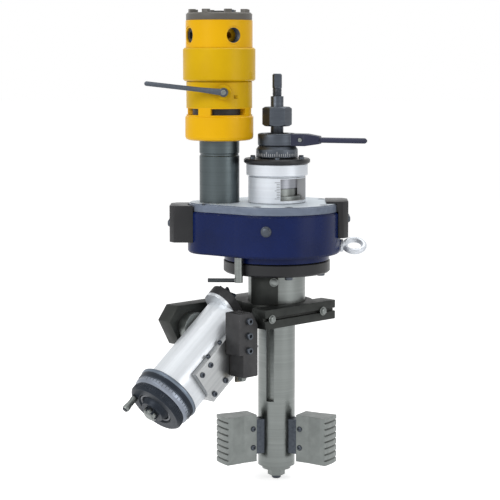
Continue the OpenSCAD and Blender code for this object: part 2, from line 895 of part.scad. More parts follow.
module tool_yoke()
    color(dark_c)
        head_frame()
            difference() {
                union() {
                    translate([0, 0, yoke_z]) cylinder(r = hub_r, h = yoke_h);
                    translate([-40, left_arm_y + 2, yoke_z]) cube([80, -left_arm_y - 2, yoke_h]);
                    translate([0, left_arm_y + left_arm_t, yoke_z])
                        rotate([90, 0, 0])
                            linear_extrude(left_arm_t)
                                polygon([
                                    [-40, 0], [60, 0], [60, -left_arm_drop],
                                    [left_arm_end - 18, -left_arm_drop], [left_arm_end, 6],
                                    [left_arm_end - 14, yoke_h], [-40, yoke_h]
                                ]);
                    translate([-53, right_arm_y, yoke_z])
                        cube([right_arm_end + 53, right_arm_t, yoke_h]);
                }
                translate([0, 0, yoke_z - eps]) cylinder(r = nose_r, h = yoke_h + 2 * eps);
                // Trunnion hole
                translate([pivot_x, left_arm_y - eps, pivot_z])
                    rotate([-90, 0, 0])
                        cylinder(r = trunnion_r + run_fit, h = left_arm_t + 2 * eps);
                // Groove along the outer face of the front arm
                translate([-60, right_arm_y + right_arm_t - 4, yoke_z + yoke_h / 2 - 1.75])
                    cube([250, 10, 3.5]);
            }

// Bevel slide, drawn along its own axis from the upper end
module slide_profile() {
    translate([0, slide_arch_z]) circle(slide_r);
    translate([-slide_r, -slide_base]) square([2 * slide_r, slide_base + slide_arch_z]);
}

module case_profile(r) {
    circle(r);
    translate([0, star_n]) circle(r);
    translate([-r, 0]) square([2 * r, star_n]);
}

module across_slide() rotate([90, 0, 90]) children();

module slide_body()
    color(silver_c)
        slide_frame()
            difference() {
                union() {
                    across_slide() linear_extrude(slide_len) slide_profile();
                    translate([-3, 0, 0]) across_slide() linear_extrude(3 + eps) case_profile(star_case_r);
                }
                // Chamber of the screw nut, open on the carriage side
                translate([8, -14, -12]) cube([slide_len - 16, 28, 24]);
                translate([nut_x - 6, 0, -12]) cube([52, 40, 15]);
                translate([-10, 0, 0])
                    along_slide()
                        cylinder(r = screw_neck_r + run_fit, h = slide_len + 20);
                translate([-10, 0, star_n]) along_slide() cylinder(r = 4 + run_fit, h = 18);
                translate([pivot_a, -slide_r - eps, pivot_n])
                    rotate([-90, 0, 0])
                        cylinder(r = trunnion_r, h = 12 + eps);
            }

module swivel_trunnion()
    color(steel_c)
        slide_frame()
            translate([pivot_a, 0, pivot_n])
                rotate([90, 0, 0]) {
                    translate([0, 0, slide_r - 12])
                        cylinder(r = trunnion_r, h = 12 + 3 + left_arm_t + 3);
                    translate([0, 0, slide_r])
                        cylinder(r = 20, h = slide_y - slide_r - left_arm_y - left_arm_t - slide_gap);
                    translate([0, 0, slide_y - left_arm_y + 0.6])
                        cylinder(r = 15, h = 9, $fn = 6);
                    // Seat of the disc against the round of the slide
                    difference() {
                        translate([0, 0, slide_r - 10]) cylinder(r = 20, h = 10);
                        cylinder(r = trunnion_r, h = 60);
                        rotate([-90, 0, 0])
                            translate([-pivot_a - 20, 0, -pivot_n])
                                across_slide()
                                    linear_extrude(slide_len + 40)
                                        slide_profile();
                    }
                }

module star_case()
    color(dark_c)
        slide_frame()
            translate([-star_case_t, 0, 0])
                difference() {
                    across_slide() linear_extrude(star_case_t - 3) case_profile(star_case_r);
                    translate([3, 0, 0])
                        across_slide()
                            linear_extrude(star_case_t)
                                case_profile(star_case_r - 2.5);
                    translate([-eps, 0, star_n]) along_slide() cylinder(r = 4 + run_fit, h = 10);
                }

module star_wheel()
    color(dark_c)
        slide_frame()
            translate([-star_case_t - 6.5, 0, star_n])
                across_slide()
                    linear_extrude(5)
                        difference() {
                            polygon([for (i = [0 : 5])
                                each [
                                    star_r * [cos(i * 60 - 6), sin(i * 60 - 6)],
                                    star_r * [cos(i * 60 + 6), sin(i * 60 + 6)],
                                    7 * [cos(i * 60 + 30), sin(i * 60 + 30)]
                                ]]);
                            circle(4);
                        }

module star_shaft()
    color(steel_c)
        slide_frame()
            translate([0, 0, star_n]) {
                translate([-star_case_t - 7.5, 0, 0]) along_slide() cylinder(r = 4, h = star_case_t + 10);
                translate([-star_case_t + 4, 0, 0])
                    across_slide()
                        linear_extrude(6.5)
                            polygon(gear_points(star_teeth, star_module, -90));
            }

module end_flange()
    color(grey_c)
        slide_frame()
            translate([slide_len, 0, 0])
                along_slide()
                    rotate_extrude()
                        polygon([
                            [screw_neck_r + run_fit, 0], [flange_r - 1.5, 0], [flange_r, 1.5],
                            [flange_r, flange_t - 1.5], [flange_r - 1.5, flange_t], [sleeve_r, flange_t],
                            [sleeve_r, flange_h], [screw_neck_r + run_fit, flange_h]
                        ]);

module lead_screw()
    color(steel_c)
        slide_frame()
            union() {
                translate([8.4, 0, 0]) along_slide() cylinder(r = screw_r, h = slide_len - 16.8);
                translate([-star_case_t + 4, 0, 0])
                    along_slide()
                        cylinder(r = screw_neck_r, h = slide_len + 53);
                translate([-star_case_t + 4, 0, 0])
                    across_slide()
                        linear_extrude(6.5)
                            polygon(gear_points(star_teeth, star_module, 90 + 180 / star_teeth));
            }

module dial_ring()
    color(silver_c)
        slide_frame()
            translate([wheel_x - ring_t, 0, 0])
                along_slide()
                    rotate_extrude()
                        polygon([
                            [screw_neck_r, 0], [ring_r, 0], [ring_r, ring_t - 3],
                            [ring_r - 2.5, ring_t], [screw_neck_r, ring_t]
                        ]);

module handwheel()
    color(dark_c)
        slide_frame()
            translate([wheel_x, 0, 0]) {
                along_slide()
                    difference() {
                        rotate_extrude()
                            polygon([
                                [screw_neck_r, 0], [wheel_r - 1, 0], [wheel_r, 1], [wheel_r, 8],
                                [wheel_r - 2, 10], [wheel_r - 12, 10], [wheel_r - 14, 7], [19, 7],
                                [17, 10], [15, 15], [screw_neck_r, 15]
                            ]);
                        rotate([0, 0, grip_turn]) translate([0, wheel_r - 7, -eps]) cylinder(r = 3, h = 20);
                    }
                // Nut on the end of the screw
                along_slide()
                    translate([0, 0, 15])
                        difference() {
                            cylinder(r = 9, h = 6, $fn = 6);
                            translate([0, 0, -eps]) cylinder(r = screw_neck_r, h = 10);
                        }
                // Pin of the crank grip
                along_slide()
                    rotate([0, 0, grip_turn])
                        translate([0, wheel_r - 7, 0])
                            cylinder(r = 3, h = 31);
            }

module crank_grip()
    color(black_c)
        slide_frame()
            translate([wheel_x, 0, 0])
                along_slide()
                    rotate([0, 0, grip_turn])
                        translate([0, wheel_r - 7, 10.4])
                            rotate_extrude()
                                polygon([
                                    [3 + run_fit, 0], [4.5, 0], [5.5, 2], [5, 10], [6, 17],
                                    [4.5, 20], [3 + run_fit, 20]
                                ]);

// Carriage and tool
module carriage()
    color(grey_c)
        slide_frame()
            difference() {
                union() {
                    translate([carriage_x, slide_r + slide_gap, -slide_base - 8])
                        cube([carriage_len, carriage_t, slide_base + 8 + carriage_top]);
                    // Lip under the slide
                    translate([carriage_x, 14, -slide_base - 8])
                        cube([carriage_len, slide_r - 14 + carriage_t, 8 - slide_gap]);
                    // Arm and nut round the screw
                    translate([nut_x, 8, -11.7]) cube([20, slide_r, 14.4]);
                    translate([nut_x, -13, -11.7]) cube([20, 26, 23.4]);
                }
                along_slide() cylinder(r = screw_r + run_fit, h = 200);
            }

module tool_frame()
    slide_frame()
        translate([post_a, slide_r + slide_gap + carriage_t, post_n])
            rotate([0, -bevel_angle, 0])
                children();

module tool_post()
    color(dark_c)
        tool_frame()
            difference() {
                translate([0, post_t, 0])
                    rotate([90, 0, 0])
                        linear_extrude(post_t)
                            polygon([
                                [-16, -25], [8, -25], [8, 3], [15, 3], [15, 54], [-6, 54], [-16, 38]
                            ]);
                translate([-6, 8, tool_low]) cube([12, 12, 100]);
            }

module tool_bit()
    color(steel_c)
        tool_frame()
            difference() {
                translate([-6, 8, tool_low]) cube([12, 12, tool_len]);
                // Nose ground back behind the insert
                translate([0, 0, tool_low])
                    rotate([90, 0, 0])
                        translate([0, 0, -30])
                            linear_extrude(40)
                                polygon([[-7, -1], [1, -1], [-7, 12]]);
                translate([-3, 4, tool_low - 1]) cube([10, 8, insert_h - 1]);
            }

module tool_insert()
    color(bronze_c)
        tool_frame()
            translate([-3, 7.5, tool_low - 2]) cube([9.5, 4.5, insert_h]);

mandrel();
draw_rod();
expander();
draw_nut();
clamp_leg_1();
clamp_leg_2();
clamp_leg_3();
clamp_foot_1();
clamp_foot_2();
clamp_foot_3();
guide_bush();
feed_body();
retainer();
feed_nut();
feed_dial();
ratchet_wheel();
ratchet_lever();
pawl();
gear_housing();
top_plate();
plate_screws();
end_guard_left();
end_guard_right();
lifting_eye();
trip_post();
lower_bearing();
upper_bearing();
motor_column();
gear_case();
exhaust_ring();
silencer();
throttle_collar();
motor_barrel();
port_head();
port_plugs();
motor_cap();
throttle_lever();
rotor();
drive_shaft();
drive_pinion();
drive_bearing();
spindle();
spindle_gear();
faceplate();
drive_posts();
tool_yoke();
slide_body();
swivel_trunnion();
star_case();
star_wheel();
star_shaft();
end_flange();
lead_screw();
dial_ring();
handwheel();
crank_grip();
carriage();
tool_post();
tool_bit();
tool_insert();
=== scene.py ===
import json
import math
import bpy
from mathutils import Matrix, Vector


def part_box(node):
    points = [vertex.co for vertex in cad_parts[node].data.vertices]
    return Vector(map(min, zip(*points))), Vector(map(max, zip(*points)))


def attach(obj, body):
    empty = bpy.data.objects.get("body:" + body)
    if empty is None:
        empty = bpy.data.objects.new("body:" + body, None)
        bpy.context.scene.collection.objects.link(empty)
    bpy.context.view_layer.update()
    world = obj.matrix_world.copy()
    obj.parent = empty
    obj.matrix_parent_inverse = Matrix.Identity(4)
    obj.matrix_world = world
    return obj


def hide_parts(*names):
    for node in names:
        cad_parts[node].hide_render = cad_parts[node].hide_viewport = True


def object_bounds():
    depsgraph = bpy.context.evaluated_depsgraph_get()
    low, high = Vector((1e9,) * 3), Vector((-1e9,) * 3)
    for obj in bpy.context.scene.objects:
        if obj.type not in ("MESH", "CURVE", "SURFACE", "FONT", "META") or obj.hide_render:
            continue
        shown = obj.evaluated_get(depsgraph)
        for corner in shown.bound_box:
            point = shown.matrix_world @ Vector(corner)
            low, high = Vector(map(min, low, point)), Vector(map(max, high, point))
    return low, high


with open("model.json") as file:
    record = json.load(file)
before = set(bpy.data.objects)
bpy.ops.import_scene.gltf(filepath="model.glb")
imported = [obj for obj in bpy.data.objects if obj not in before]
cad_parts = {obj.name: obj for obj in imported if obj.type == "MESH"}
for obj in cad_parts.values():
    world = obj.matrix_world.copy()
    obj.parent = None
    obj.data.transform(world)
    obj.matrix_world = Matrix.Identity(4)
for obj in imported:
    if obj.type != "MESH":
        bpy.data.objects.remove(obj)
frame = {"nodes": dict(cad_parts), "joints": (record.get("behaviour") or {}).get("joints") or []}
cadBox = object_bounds()
mm = 0.001


# Places in millimetres and turns in degrees
def spot(x, y, z):
    return Matrix.Translation((x * mm, y * mm, z * mm))


def turned(angle, axis="Z"):
    return Matrix.Rotation(math.radians(angle), 4, axis)


def lowOf(nodeName):
    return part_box(nodeName)[0] / mm


def highOf(nodeName):
    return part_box(nodeName)[1] / mm


# Stands a piece made along Z out of a face that looks along the given axis
faceAlong = {
    "+X": turned(90, "Y"), "-X": turned(-90, "Y"),
    "+Y": turned(-90, "X"), "-Y": turned(90, "X"), "-Z": turned(180, "X"),
}

# Where the motor, the turning head, the bevel slide and the tool post sit in the part's frame
layout = {"headTurn": 225, "bevel": 37.5, "slideStart": (-32, 0, -14.6), "toolStart": (40, 37.3, -12)}
jointPlace = {joint["name"]: Vector(joint.get("pos_m", (0, 0, 0))) / mm for joint in frame["joints"]}
motorFrame = spot(jointPlace["drive_turn"].x, jointPlace["drive_turn"].y, 0)
headFrame = turned(layout["headTurn"])
swivelFrame = spot(*jointPlace["bevel_swivel"]) @ headFrame
bevelTurn = turned(layout["bevel"], "Y")
slideFrame = swivelFrame @ bevelTurn @ spot(*layout["slideStart"])
slideAxis = slideFrame @ turned(90, "Y")
toolFrame = slideFrame @ spot(*layout["toolStart"]) @ bevelTurn.inverted()


# Small helpers for node trees
def addNode(tree, kind, values=None, **settings):
    node = tree.nodes.new("ShaderNode" + kind)
    for key, value in settings.items():
        setattr(node, key, value)
    for key, value in (values or {}).items():
        if isinstance(value, bpy.types.NodeSocket):
            tree.links.new(value, node.inputs[key])
        else:
            node.inputs[key].default_value = value
    return node


def wire(tree, sockets, values):
    for key, value in values.items():
        tree.links.new(value, sockets[key])


def calc(tree, operation, first, second=0.0, clamp=False):
    return addNode(tree, "Math", {0: first, 1: second}, operation=operation, use_clamp=clamp).outputs[0]


def spread(tree, value, low, high, fromLow=0.0, fromHigh=1.0):
    values = {"Value": value, "From Min": fromLow, "From Max": fromHigh, "To Min": low, "To Max": high}
    return addNode(tree, "MapRange", values).outputs["Result"]


def fullRange(tree, value, band=(0.3, 0.7)):
    return spread(tree, value, 0.0, 1.0, *band)


def blendColour(tree, share, first, second):
    return addNode(tree, "Mix", {0: share, 6: first, 7: second}, data_type="RGBA").outputs[2]


def noise(tree, vector, scale, detail, rough):
    values = {"Vector": vector, "Scale": scale, "Detail": detail, "Roughness": rough}
    return addNode(tree, "TexNoise", values).outputs[0]


def radiusOf(tree, parts):
    square = calc(tree, "ADD", calc(tree, "POWER", parts[0], 2.0), calc(tree, "POWER", parts[1], 2.0))
    return calc(tree, "SQRT", square)


def newGroup(name, given, made):
    tree = bpy.data.node_groups.new(name, "ShaderNodeTree")
    for socket, kind in given.items():
        tree.interface.new_socket(socket, in_out="INPUT", socket_type="NodeSocket" + kind)
    for socket, kind in made.items():
        tree.interface.new_socket(socket, in_out="OUTPUT", socket_type="NodeSocket" + kind)
    entry = tree.nodes.new("NodeGroupInput").outputs
    leave = tree.nodes.new("NodeGroupOutput").inputs
    return tree, entry, leave


def useGroup(tree, group, values):
    return addNode(tree, "Group", values, node_tree=group).outputs


# Shared surface effects, each a node group; pairs of numbers are a noise's detail and roughness
wearEffect = {"samples": 6, "corner": (0.72, 0.97), "patch": (6.0, 0.65), "limit": 0.78, "ease": 0.4,
              "sharp": 9.0}


def makeEdgeWear(effect):
    given = {"Vector": "Vector", "Width": "Float", "Amount": "Float", "Patch": "Float"}
    tree, entry, leave = newGroup("edgeWear", given, {"Mask": "Float", "Normal": "Vector"})
    rounded = addNode(tree, "Bevel", {"Radius": entry["Width"]}, samples=effect["samples"]).outputs[0]
    plain = addNode(tree, "NewGeometry").outputs["Normal"]
    lean = addNode(tree, "VectorMath", {0: rounded, 1: plain}, operation="DOT_PRODUCT").outputs["Value"]
    bend = spread(tree, lean, 1.0, 0.0, *effect["corner"])
    patch = noise(tree, entry["Vector"], entry["Patch"], *effect["patch"])
    limit = calc(tree, "SUBTRACT", effect["limit"], calc(tree, "MULTIPLY", entry["Amount"], effect["ease"]))
    torn = calc(tree, "MULTIPLY", calc(tree, "SUBTRACT", patch, limit), effect["sharp"], True)
    wire(tree, leave, {"Mask": calc(tree, "MULTIPLY", bend, torn, True), "Normal": rounded})
    return tree


# Crevice darkening from ambient occlusion: painted shade where crevices shut out light, broken up by grime
# patches
grimeAndShadeEffect = {"samples": 6, "shut": (0.15, 0.75), "scale": 140.0, "patch": (5.0, 0.6), "thin": 0.35,
               "band": (0.3, 0.7)}


def makeCreviceGrimeAndShade(effect):
    given = {"Vector": "Vector", "Reach": "Float", "Amount": "Float"}
    tree, entry, leave = newGroup("creviceGrimeAndShade", given, {"Mask": "Float"})
    sky = addNode(tree, "AmbientOcclusion", {"Distance": entry["Reach"]}, samples=effect["samples"])
    shut = spread(tree, sky.outputs["AO"], 1.0, 0.0, *effect["shut"])
    patch = noise(tree, entry["Vector"], effect["scale"], *effect["patch"])
    patch = spread(tree, patch, effect["thin"], 1.0, *effect["band"])
    dustAndShade = calc(tree, "MULTIPLY", shut, patch)
    wire(tree, leave, {"Mask": calc(tree, "MULTIPLY", dustAndShade, entry["Amount"], True)})
    return tree


skinEffect = {
    "peel": (2.0, 0.4), "dustScale": 4.0, "dust": (1.0, 0.4), "dustLimit": 0.72, "dustSharp": 4.0,
    "dustHigh": 0.5, "mottle": (5.0, 0.5), "filmScale": 2.3, "film": (6.0, 0.6), "filmBand": (0.35, 0.75)}


def makePaintSkin(effect):
    given = {"Vector": "Vector", "Peel": "Float", "Mottle": "Float"}
    tree, entry, leave = newGroup("paintSkin", given, {"Height": "Float", "Tone": "Float", "Film": "Float"})
    peel = noise(tree, entry["Vector"], entry["Peel"], *effect["peel"])
    dustScale = calc(tree, "MULTIPLY", entry["Peel"], effect["dustScale"])
    dust = noise(tree, entry["Vector"], dustScale, *effect["dust"])
    speck = calc(tree, "SUBTRACT", dust, effect["dustLimit"])
    speck = calc(tree, "MULTIPLY", speck, effect["dustSharp"], True)
    mottle = noise(tree, entry["Vector"], entry["Mottle"], *effect["mottle"])
    filmScale = calc(tree, "MULTIPLY", entry["Mottle"], effect["filmScale"])
    film = noise(tree, entry["Vector"], filmScale, *effect["film"])
    wire(tree, leave, {
        "Height": calc(tree, "ADD", peel, calc(tree, "MULTIPLY", speck, effect["dustHigh"])),
        "Tone": fullRange(tree, mottle), "Film": fullRange(tree, film, effect["filmBand"])})
    return tree


# Machined and cast surfaces: rings round the turning axis, streaks along X, or grains with pits
surfaceEffects = {
    "turned": {"fine": (3.0, 0.6), "wide": (4.0, 0.6), "wideScale": 0.12, "around": 0.0002},
    "drawn": {"fine": (4.0, 0.65), "wide": (5.0, 0.6), "wideScale": 0.1, "along": 0.03},
    "cast": {"fine": (4.0, 0.6), "wide": (5.0, 0.6), "wideScale": 0.07, "pitScale": 0.6, "pitDeep": 0.6},
}


def makeSurface(name, effect):
    made = {"Height": "Float", "Tone": "Float"}
    tree, entry, leave = newGroup(name + "Surface", {"Vector": "Vector", "Pitch": "Float"}, made)
    vector = entry["Vector"]
    if "around" in effect:
        parts = addNode(tree, "SeparateXYZ", {0: vector}).outputs
        turn = calc(tree, "MULTIPLY", calc(tree, "ARCTAN2", parts[1], parts[0]), effect["around"])
        vector = addNode(tree, "CombineXYZ", {0: radiusOf(tree, parts), 1: parts[2], 2: turn}).outputs[0]
    if "along" in effect:
        stretch = {0: vector, 1: (effect["along"], 1.0, 1.0)}
        vector = addNode(tree, "VectorMath", stretch, operation="MULTIPLY").outputs[0]
    height = noise(tree, vector, entry["Pitch"], *effect["fine"])
    if "pitScale" in effect:
        cells = {"Vector": vector, "Scale": calc(tree, "MULTIPLY", entry["Pitch"], effect["pitScale"])}
        pits = addNode(tree, "TexVoronoi", cells).outputs["Distance"]
        height = calc(tree, "ADD", height, calc(tree, "MULTIPLY", pits, effect["pitDeep"]))
    wide = noise(tree, vector, calc(tree, "MULTIPLY", entry["Pitch"], effect["wideScale"]), *effect["wide"])
    wire(tree, leave, {"Height": height, "Tone": fullRange(tree, wide)})
    return tree


edgeWear = makeEdgeWear(wearEffect)
creviceGrimeAndShade = makeCreviceGrimeAndShade(grimeAndShadeEffect)
paintSkin = makePaintSkin(skinEffect)
surfaces = {name: makeSurface(name, effect) for name, effect in surfaceEffects.items()}
print("surface effects ready:", len(bpy.data.node_groups))


# Finishes
def newFinish(name, fixed):
    material = bpy.data.materials.new(name)
    material.use_nodes = True
    shader = material.node_tree.nodes["Principled BSDF"]
    for socket, value in fixed.items():
        shader.inputs[socket].default_value = value
    return material, material.node_tree, shader


def localCoords(tree, place):
    seen = addNode(tree, "TexCoord").outputs["Object"]
    values = {"Vector": seen, "Location": place.to_translation(), "Rotation": place.to_euler()}
    return addNode(tree, "Mapping", values, vector_type="TEXTURE").outputs["Vector"]


def opaque(colour):
    return (*colour, 1.0)


# What paint and metal share: tone, grime and painted shade in the crevices, bare edges, roughness and bump
def wearSurface(tree, shader, look, work, made):
    worn = {"Vector": made["coords"], "Width": look["edge"], "Amount": look["wear"], "Patch": work["patch"]}
    edge = useGroup(tree, edgeWear, worn)
    dustAndShade = {"Vector": made["coords"], "Reach": work["reach"], "Amount": look["grimeAndShade"]}
    grimeAndShade = useGroup(tree, creviceGrimeAndShade, dustAndShade)
    # Crevices darken towards the look's dirt colour: painted shade mixed with grime
    dirtyAndShaded = blendColour(tree, grimeAndShade["Mask"], made["tone"], opaque(look["dirtAndShade"]))
    bump = {"Height": made["height"], "Normal": edge["Normal"], "Strength": look["bump"],
            "Distance": work["depth"]}
    wire(tree, shader.inputs, {
        "Base Color": blendColour(tree, edge["Mask"], dirtyAndShaded, opaque(look["bare"])),
        "Roughness": spread(tree, made["film"], *look["rough"]),
        "Normal": addNode(tree, "Bump", bump).outputs[0]})
    return edge["Mask"]


paintWork = {"mottle": 22.0, "patch": 95.0, "reach": 9 * mm, "depth": 0.2 * mm, "bareMetal": 0.8}


def paintFinish(name, look):
    material, tree, shader = newFinish(name, {"Specular IOR Level": look["gloss"]})
    coords = localCoords(tree, Matrix())
    skin = useGroup(tree, paintSkin, {"Vector": coords, "Peel": look["peel"], "Mottle": paintWork["mottle"]})
    tone = blendColour(tree, skin["Tone"], opaque(look["colour"]), opaque(look["shade"]))
    made = {"coords": coords, "tone": tone, "height": skin["Height"], "film": skin["Film"]}
    bare = wearSurface(tree, shader, look, paintWork, made)
    wire(tree, shader.inputs, {"Metallic": calc(tree, "MULTIPLY", bare, paintWork["bareMetal"])})
    return material


metalWork = {"patch": 120.0, "reach": 7 * mm, "depth": 0.1 * mm, "film": (38.0, 6.0, 0.62),
             "filmBand": (0.35, 0.72)}


def metalFinish(name, look):
    fixed = {"Metallic": look["metallic"], "Specular IOR Level": look["gloss"]}
    material, tree, shader = newFinish(name, fixed)
    coords = localCoords(tree, look.get("frame", Matrix()))
    lines = useGroup(tree, surfaces[look["lines"]], {"Vector": coords, "Pitch": look["pitch"]})
    tone = blendColour(tree, lines["Tone"], opaque(look["colour"]), opaque(look["shade"]))
    if "second" in look:
        tone = blendColour(tree, look["where"](tree), tone, opaque(look["second"]))
    film = fullRange(tree, noise(tree, coords, *metalWork["film"]), metalWork["filmBand"])
    grain = calc(tree, "MULTIPLY", calc(tree, "ADD", lines["Tone"], film), 0.5)  # the mean of both
    made = {"coords": coords, "tone": tone, "height": lines["Height"], "film": grain}
    wearSurface(tree, shader, look, metalWork, made)
    return material


# Masks for a second colour on one solid: faces that look up (painted light on the plate's top), left of the
# trip post, in the feed window (raw metal tone with painted shade)
maskPlace = {"upward": 0.7, "postLeft": -52, "windowReach": 35.6, "windowLow": 299, "windowTop": 327.4}


def objectParts(tree):
    return addNode(tree, "SeparateXYZ", {0: addNode(tree, "TexCoord").outputs["Object"]}).outputs


# Faces that look up, which carry the plate's painted light on its top
def paintedLightOnTop(tree):
    normal = addNode(tree, "NewGeometry").outputs["True Normal"]
    rise = addNode(tree, "SeparateXYZ", {0: normal}).outputs[2]
    return calc(tree, "GREATER_THAN", rise, maskPlace["upward"])


def leftOfPost(tree):
    return calc(tree, "LESS_THAN", objectParts(tree)[0], maskPlace["postLeft"] * mm)


# Inside the feed window the body takes a darker colour: raw cut metal in tone and painted shade in the recess
def insideWindow(tree):
    parts = objectParts(tree)
    inner = calc(tree, "LESS_THAN", radiusOf(tree, parts), maskPlace["windowReach"] * mm)
    above = calc(tree, "GREATER_THAN", parts[2], maskPlace["windowLow"] * mm)
    below = calc(tree, "LESS_THAN", parts[2], maskPlace["windowTop"] * mm)
    return calc(tree, "MULTIPLY", inner, calc(tree, "MULTIPLY", above, below))


# Paints and plastics
# Each look's dirt colour and grime amount set how dark its crevices get: painted shade mixed with grime
yellowLook = {
    "colour": (0.88, 0.485, 0.004), "shade": (0.82, 0.44, 0.004), "dirtAndShade": (0.20, 0.10, 0.006),
    "bare": (0.42, 0.41, 0.40), "rough": (0.26, 0.44), "gloss": 0.13, "peel": 650.0,
    "edge": 0.7 * mm, "wear": 0.3, "grimeAndShade": 0.75, "bump": 0.1}
yellowEnamel = paintFinish("yellowEnamel", yellowLook)
mustardEnamel = paintFinish("mustardEnamel", yellowLook | {
    "colour": (0.74, 0.455, 0.003), "shade": (0.68, 0.405, 0.003)})
blueEnamel = paintFinish("blueEnamel", {
    "colour": (0.0040, 0.0145, 0.094), "shade": (0.0026, 0.010, 0.065), "dirtAndShade": (0.005, 0.006, 0.014),
    "bare": (0.33, 0.34, 0.37), "rough": (0.20, 0.38), "gloss": 0.165, "peel": 520.0,
    "edge": 0.8 * mm, "wear": 0.4, "grimeAndShade": 0.7, "bump": 0.14})

blackLook = {
    "colour": (0.017, 0.018, 0.020), "shade": (0.012, 0.012, 0.014), "dirtAndShade": (0.04, 0.036, 0.032),
    "bare": (0.30, 0.30, 0.31), "rough": (0.32, 0.54), "gloss": 0.3, "peel": 700.0,
    "edge": 0.6 * mm, "wear": 0.5, "grimeAndShade": 0.5, "bump": 0.2}
blackEnamel = paintFinish("blackEnamel", blackLook)
navyGrip = paintFinish("navyGrip", blackLook | {
    "colour": (0.016, 0.020, 0.052), "shade": (0.012, 0.014, 0.034), "dirtAndShade": (0.04, 0.036, 0.036),
    "bare": (0.30, 0.30, 0.32), "rough": (0.34, 0.55), "gloss": 0.35, "peel": 800.0,
    "wear": 0.45, "bump": 0.25})
capEnamel = paintFinish("capEnamel", blackLook | {
    "colour": (0.132, 0.124, 0.109), "shade": (0.104, 0.098, 0.087), "dirtAndShade": (0.03, 0.026, 0.02),
    "bare": (0.30, 0.30, 0.30), "rough": (0.36, 0.56), "wear": 0.55, "grimeAndShade": 0.6})
blackPlastic = paintFinish("blackPlastic", blackLook | {
    "colour": (0.014, 0.014, 0.015), "shade": (0.021, 0.021, 0.022), "dirtAndShade": (0.05, 0.046, 0.042),
    "bare": (0.06, 0.06, 0.06), "rough": (0.42, 0.62), "peel": 1500.0,
    "edge": 0.5 * mm, "wear": 0.2, "grimeAndShade": 0.6, "bump": 0.5})

markLook = {
    "rough": (0.45, 0.6), "gloss": 0.2, "peel": 1500.0,
    "edge": 0.1 * mm, "wear": 0.1, "grimeAndShade": 0.2, "bump": 0.1}
markWhite = paintFinish("markWhite", markLook | {
    "colour": (0.72, 0.73, 0.74), "shade": (0.62, 0.63, 0.64),
    "dirtAndShade": (0.2, 0.19, 0.18), "bare": (0.4, 0.4, 0.4)})
markBlack = paintFinish("markBlack", markLook | {
    "colour": (0.02, 0.02, 0.022), "shade": (0.03, 0.03, 0.032),
    "dirtAndShade": (0.05, 0.05, 0.05), "bare": (0.1, 0.1, 0.1)})

# Silver: the feed body, the plate, the slide and its dial
silverLook = {
    "colour": (0.72, 0.76, 0.81), "shade": (0.64, 0.67, 0.72), "dirtAndShade": (0.16, 0.15, 0.14),
    "bare": (0.90, 0.91, 0.92), "rough": (0.26, 0.44), "metallic": 1.0, "gloss": 0.5, "edge": 0.6 * mm,
    "wear": 0.5, "grimeAndShade": 0.6, "bump": 0.18, "pitch": 2600.0, "lines": "turned"}
satinLook = silverLook | {"metallic": 0.35, "rough": (0.34, 0.48)}
silverTurned = metalFinish("silverTurned", satinLook)
# The feed body's window band is a darker grey: raw cut metal and painted shade in the recess
silverFeed = metalFinish("silverFeed", satinLook | {"second": (0.42, 0.425, 0.435), "where": insideWindow})
# The plate's top faces are painted light and its rim and sides painted shade: one metal in a lit and a shaded
# colour
silverPlate = metalFinish("silverPlate", silverLook | {
    "lines": "drawn", "pitch": 2200.0, "metallic": 0.36, "gloss": 0.3, "rough": (0.44, 0.62),
    "colour": (0.165, 0.197, 0.260), "shade": (0.128, 0.155, 0.208),
    "second": (0.57, 0.625, 0.67), "where": paintedLightOnTop})
silverSlide = metalFinish("silverSlide", silverLook | {
    "lines": "drawn", "frame": slideFrame, "metallic": 0.55, "rough": (0.30, 0.46),
    "colour": (0.72, 0.75, 0.785), "shade": (0.63, 0.66, 0.69)})
silverDial = metalFinish("silverDial", silverLook | {
    "frame": slideAxis, "colour": (0.25, 0.28, 0.33), "shade": (0.19, 0.21, 0.25)})

# Bare steel
steelLook = {
    "colour": (0.205, 0.221, 0.214), "shade": (0.172, 0.186, 0.181), "dirtAndShade": (0.09, 0.08, 0.07),
    "bare": (0.55, 0.56, 0.56), "rough": (0.26, 0.38), "metallic": 1.0, "gloss": 0.5, "edge": 0.5 * mm,
    "wear": 0.55, "grimeAndShade": 0.8, "bump": 0.07, "pitch": 3000.0, "lines": "turned"}
turnedSteel = metalFinish("turnedSteel", steelLook)
sleeveSteel = metalFinish("sleeveSteel", steelLook | {
    "colour": (0.26, 0.27, 0.295), "shade": (0.22, 0.23, 0.255)})
tripSteel = metalFinish("tripSteel", steelLook | {"second": (0.05, 0.056, 0.06), "where": leftOfPost})
footSteel = metalFinish("footSteel", steelLook | {
    "lines": "cast", "pitch": 1400.0, "bump": 0.25, "rough": (0.34, 0.5)})
groundSteel = metalFinish("groundSteel", steelLook | {"lines": "drawn", "frame": toolFrame})
motorSteel = metalFinish("motorSteel", steelLook | {"frame": motorFrame})
slideSteel = metalFinish("slideSteel", steelLook | {"frame": slideAxis})
flangeSteel = metalFinish("flangeSteel", steelLook | {
    "frame": slideAxis, "colour": (0.16, 0.19, 0.23), "shade": (0.12, 0.145, 0.18)})
ringSteel = metalFinish("ringSteel", steelLook | {
    "frame": slideAxis, "colour": (0.085, 0.092, 0.108), "shade": (0.06, 0.066, 0.078)})
carriageSteel = metalFinish("carriageSteel", steelLook | {
    "lines": "drawn", "frame": slideFrame, "colour": (0.38, 0.39, 0.395), "shade": (0.30, 0.31, 0.315)})
columnSteel = metalFinish("columnSteel", steelLook | {
    "frame": motorFrame, "rough": (0.30, 0.45),
    "colour": (0.088, 0.106, 0.112), "shade": (0.074, 0.090, 0.095)})
coatedCarbide = metalFinish("coatedCarbide", steelLook | {
    "lines": "cast", "pitch": 4000.0, "rough": (0.25, 0.4),
    "colour": (0.26, 0.235, 0.19), "shade": (0.20, 0.18, 0.145)})

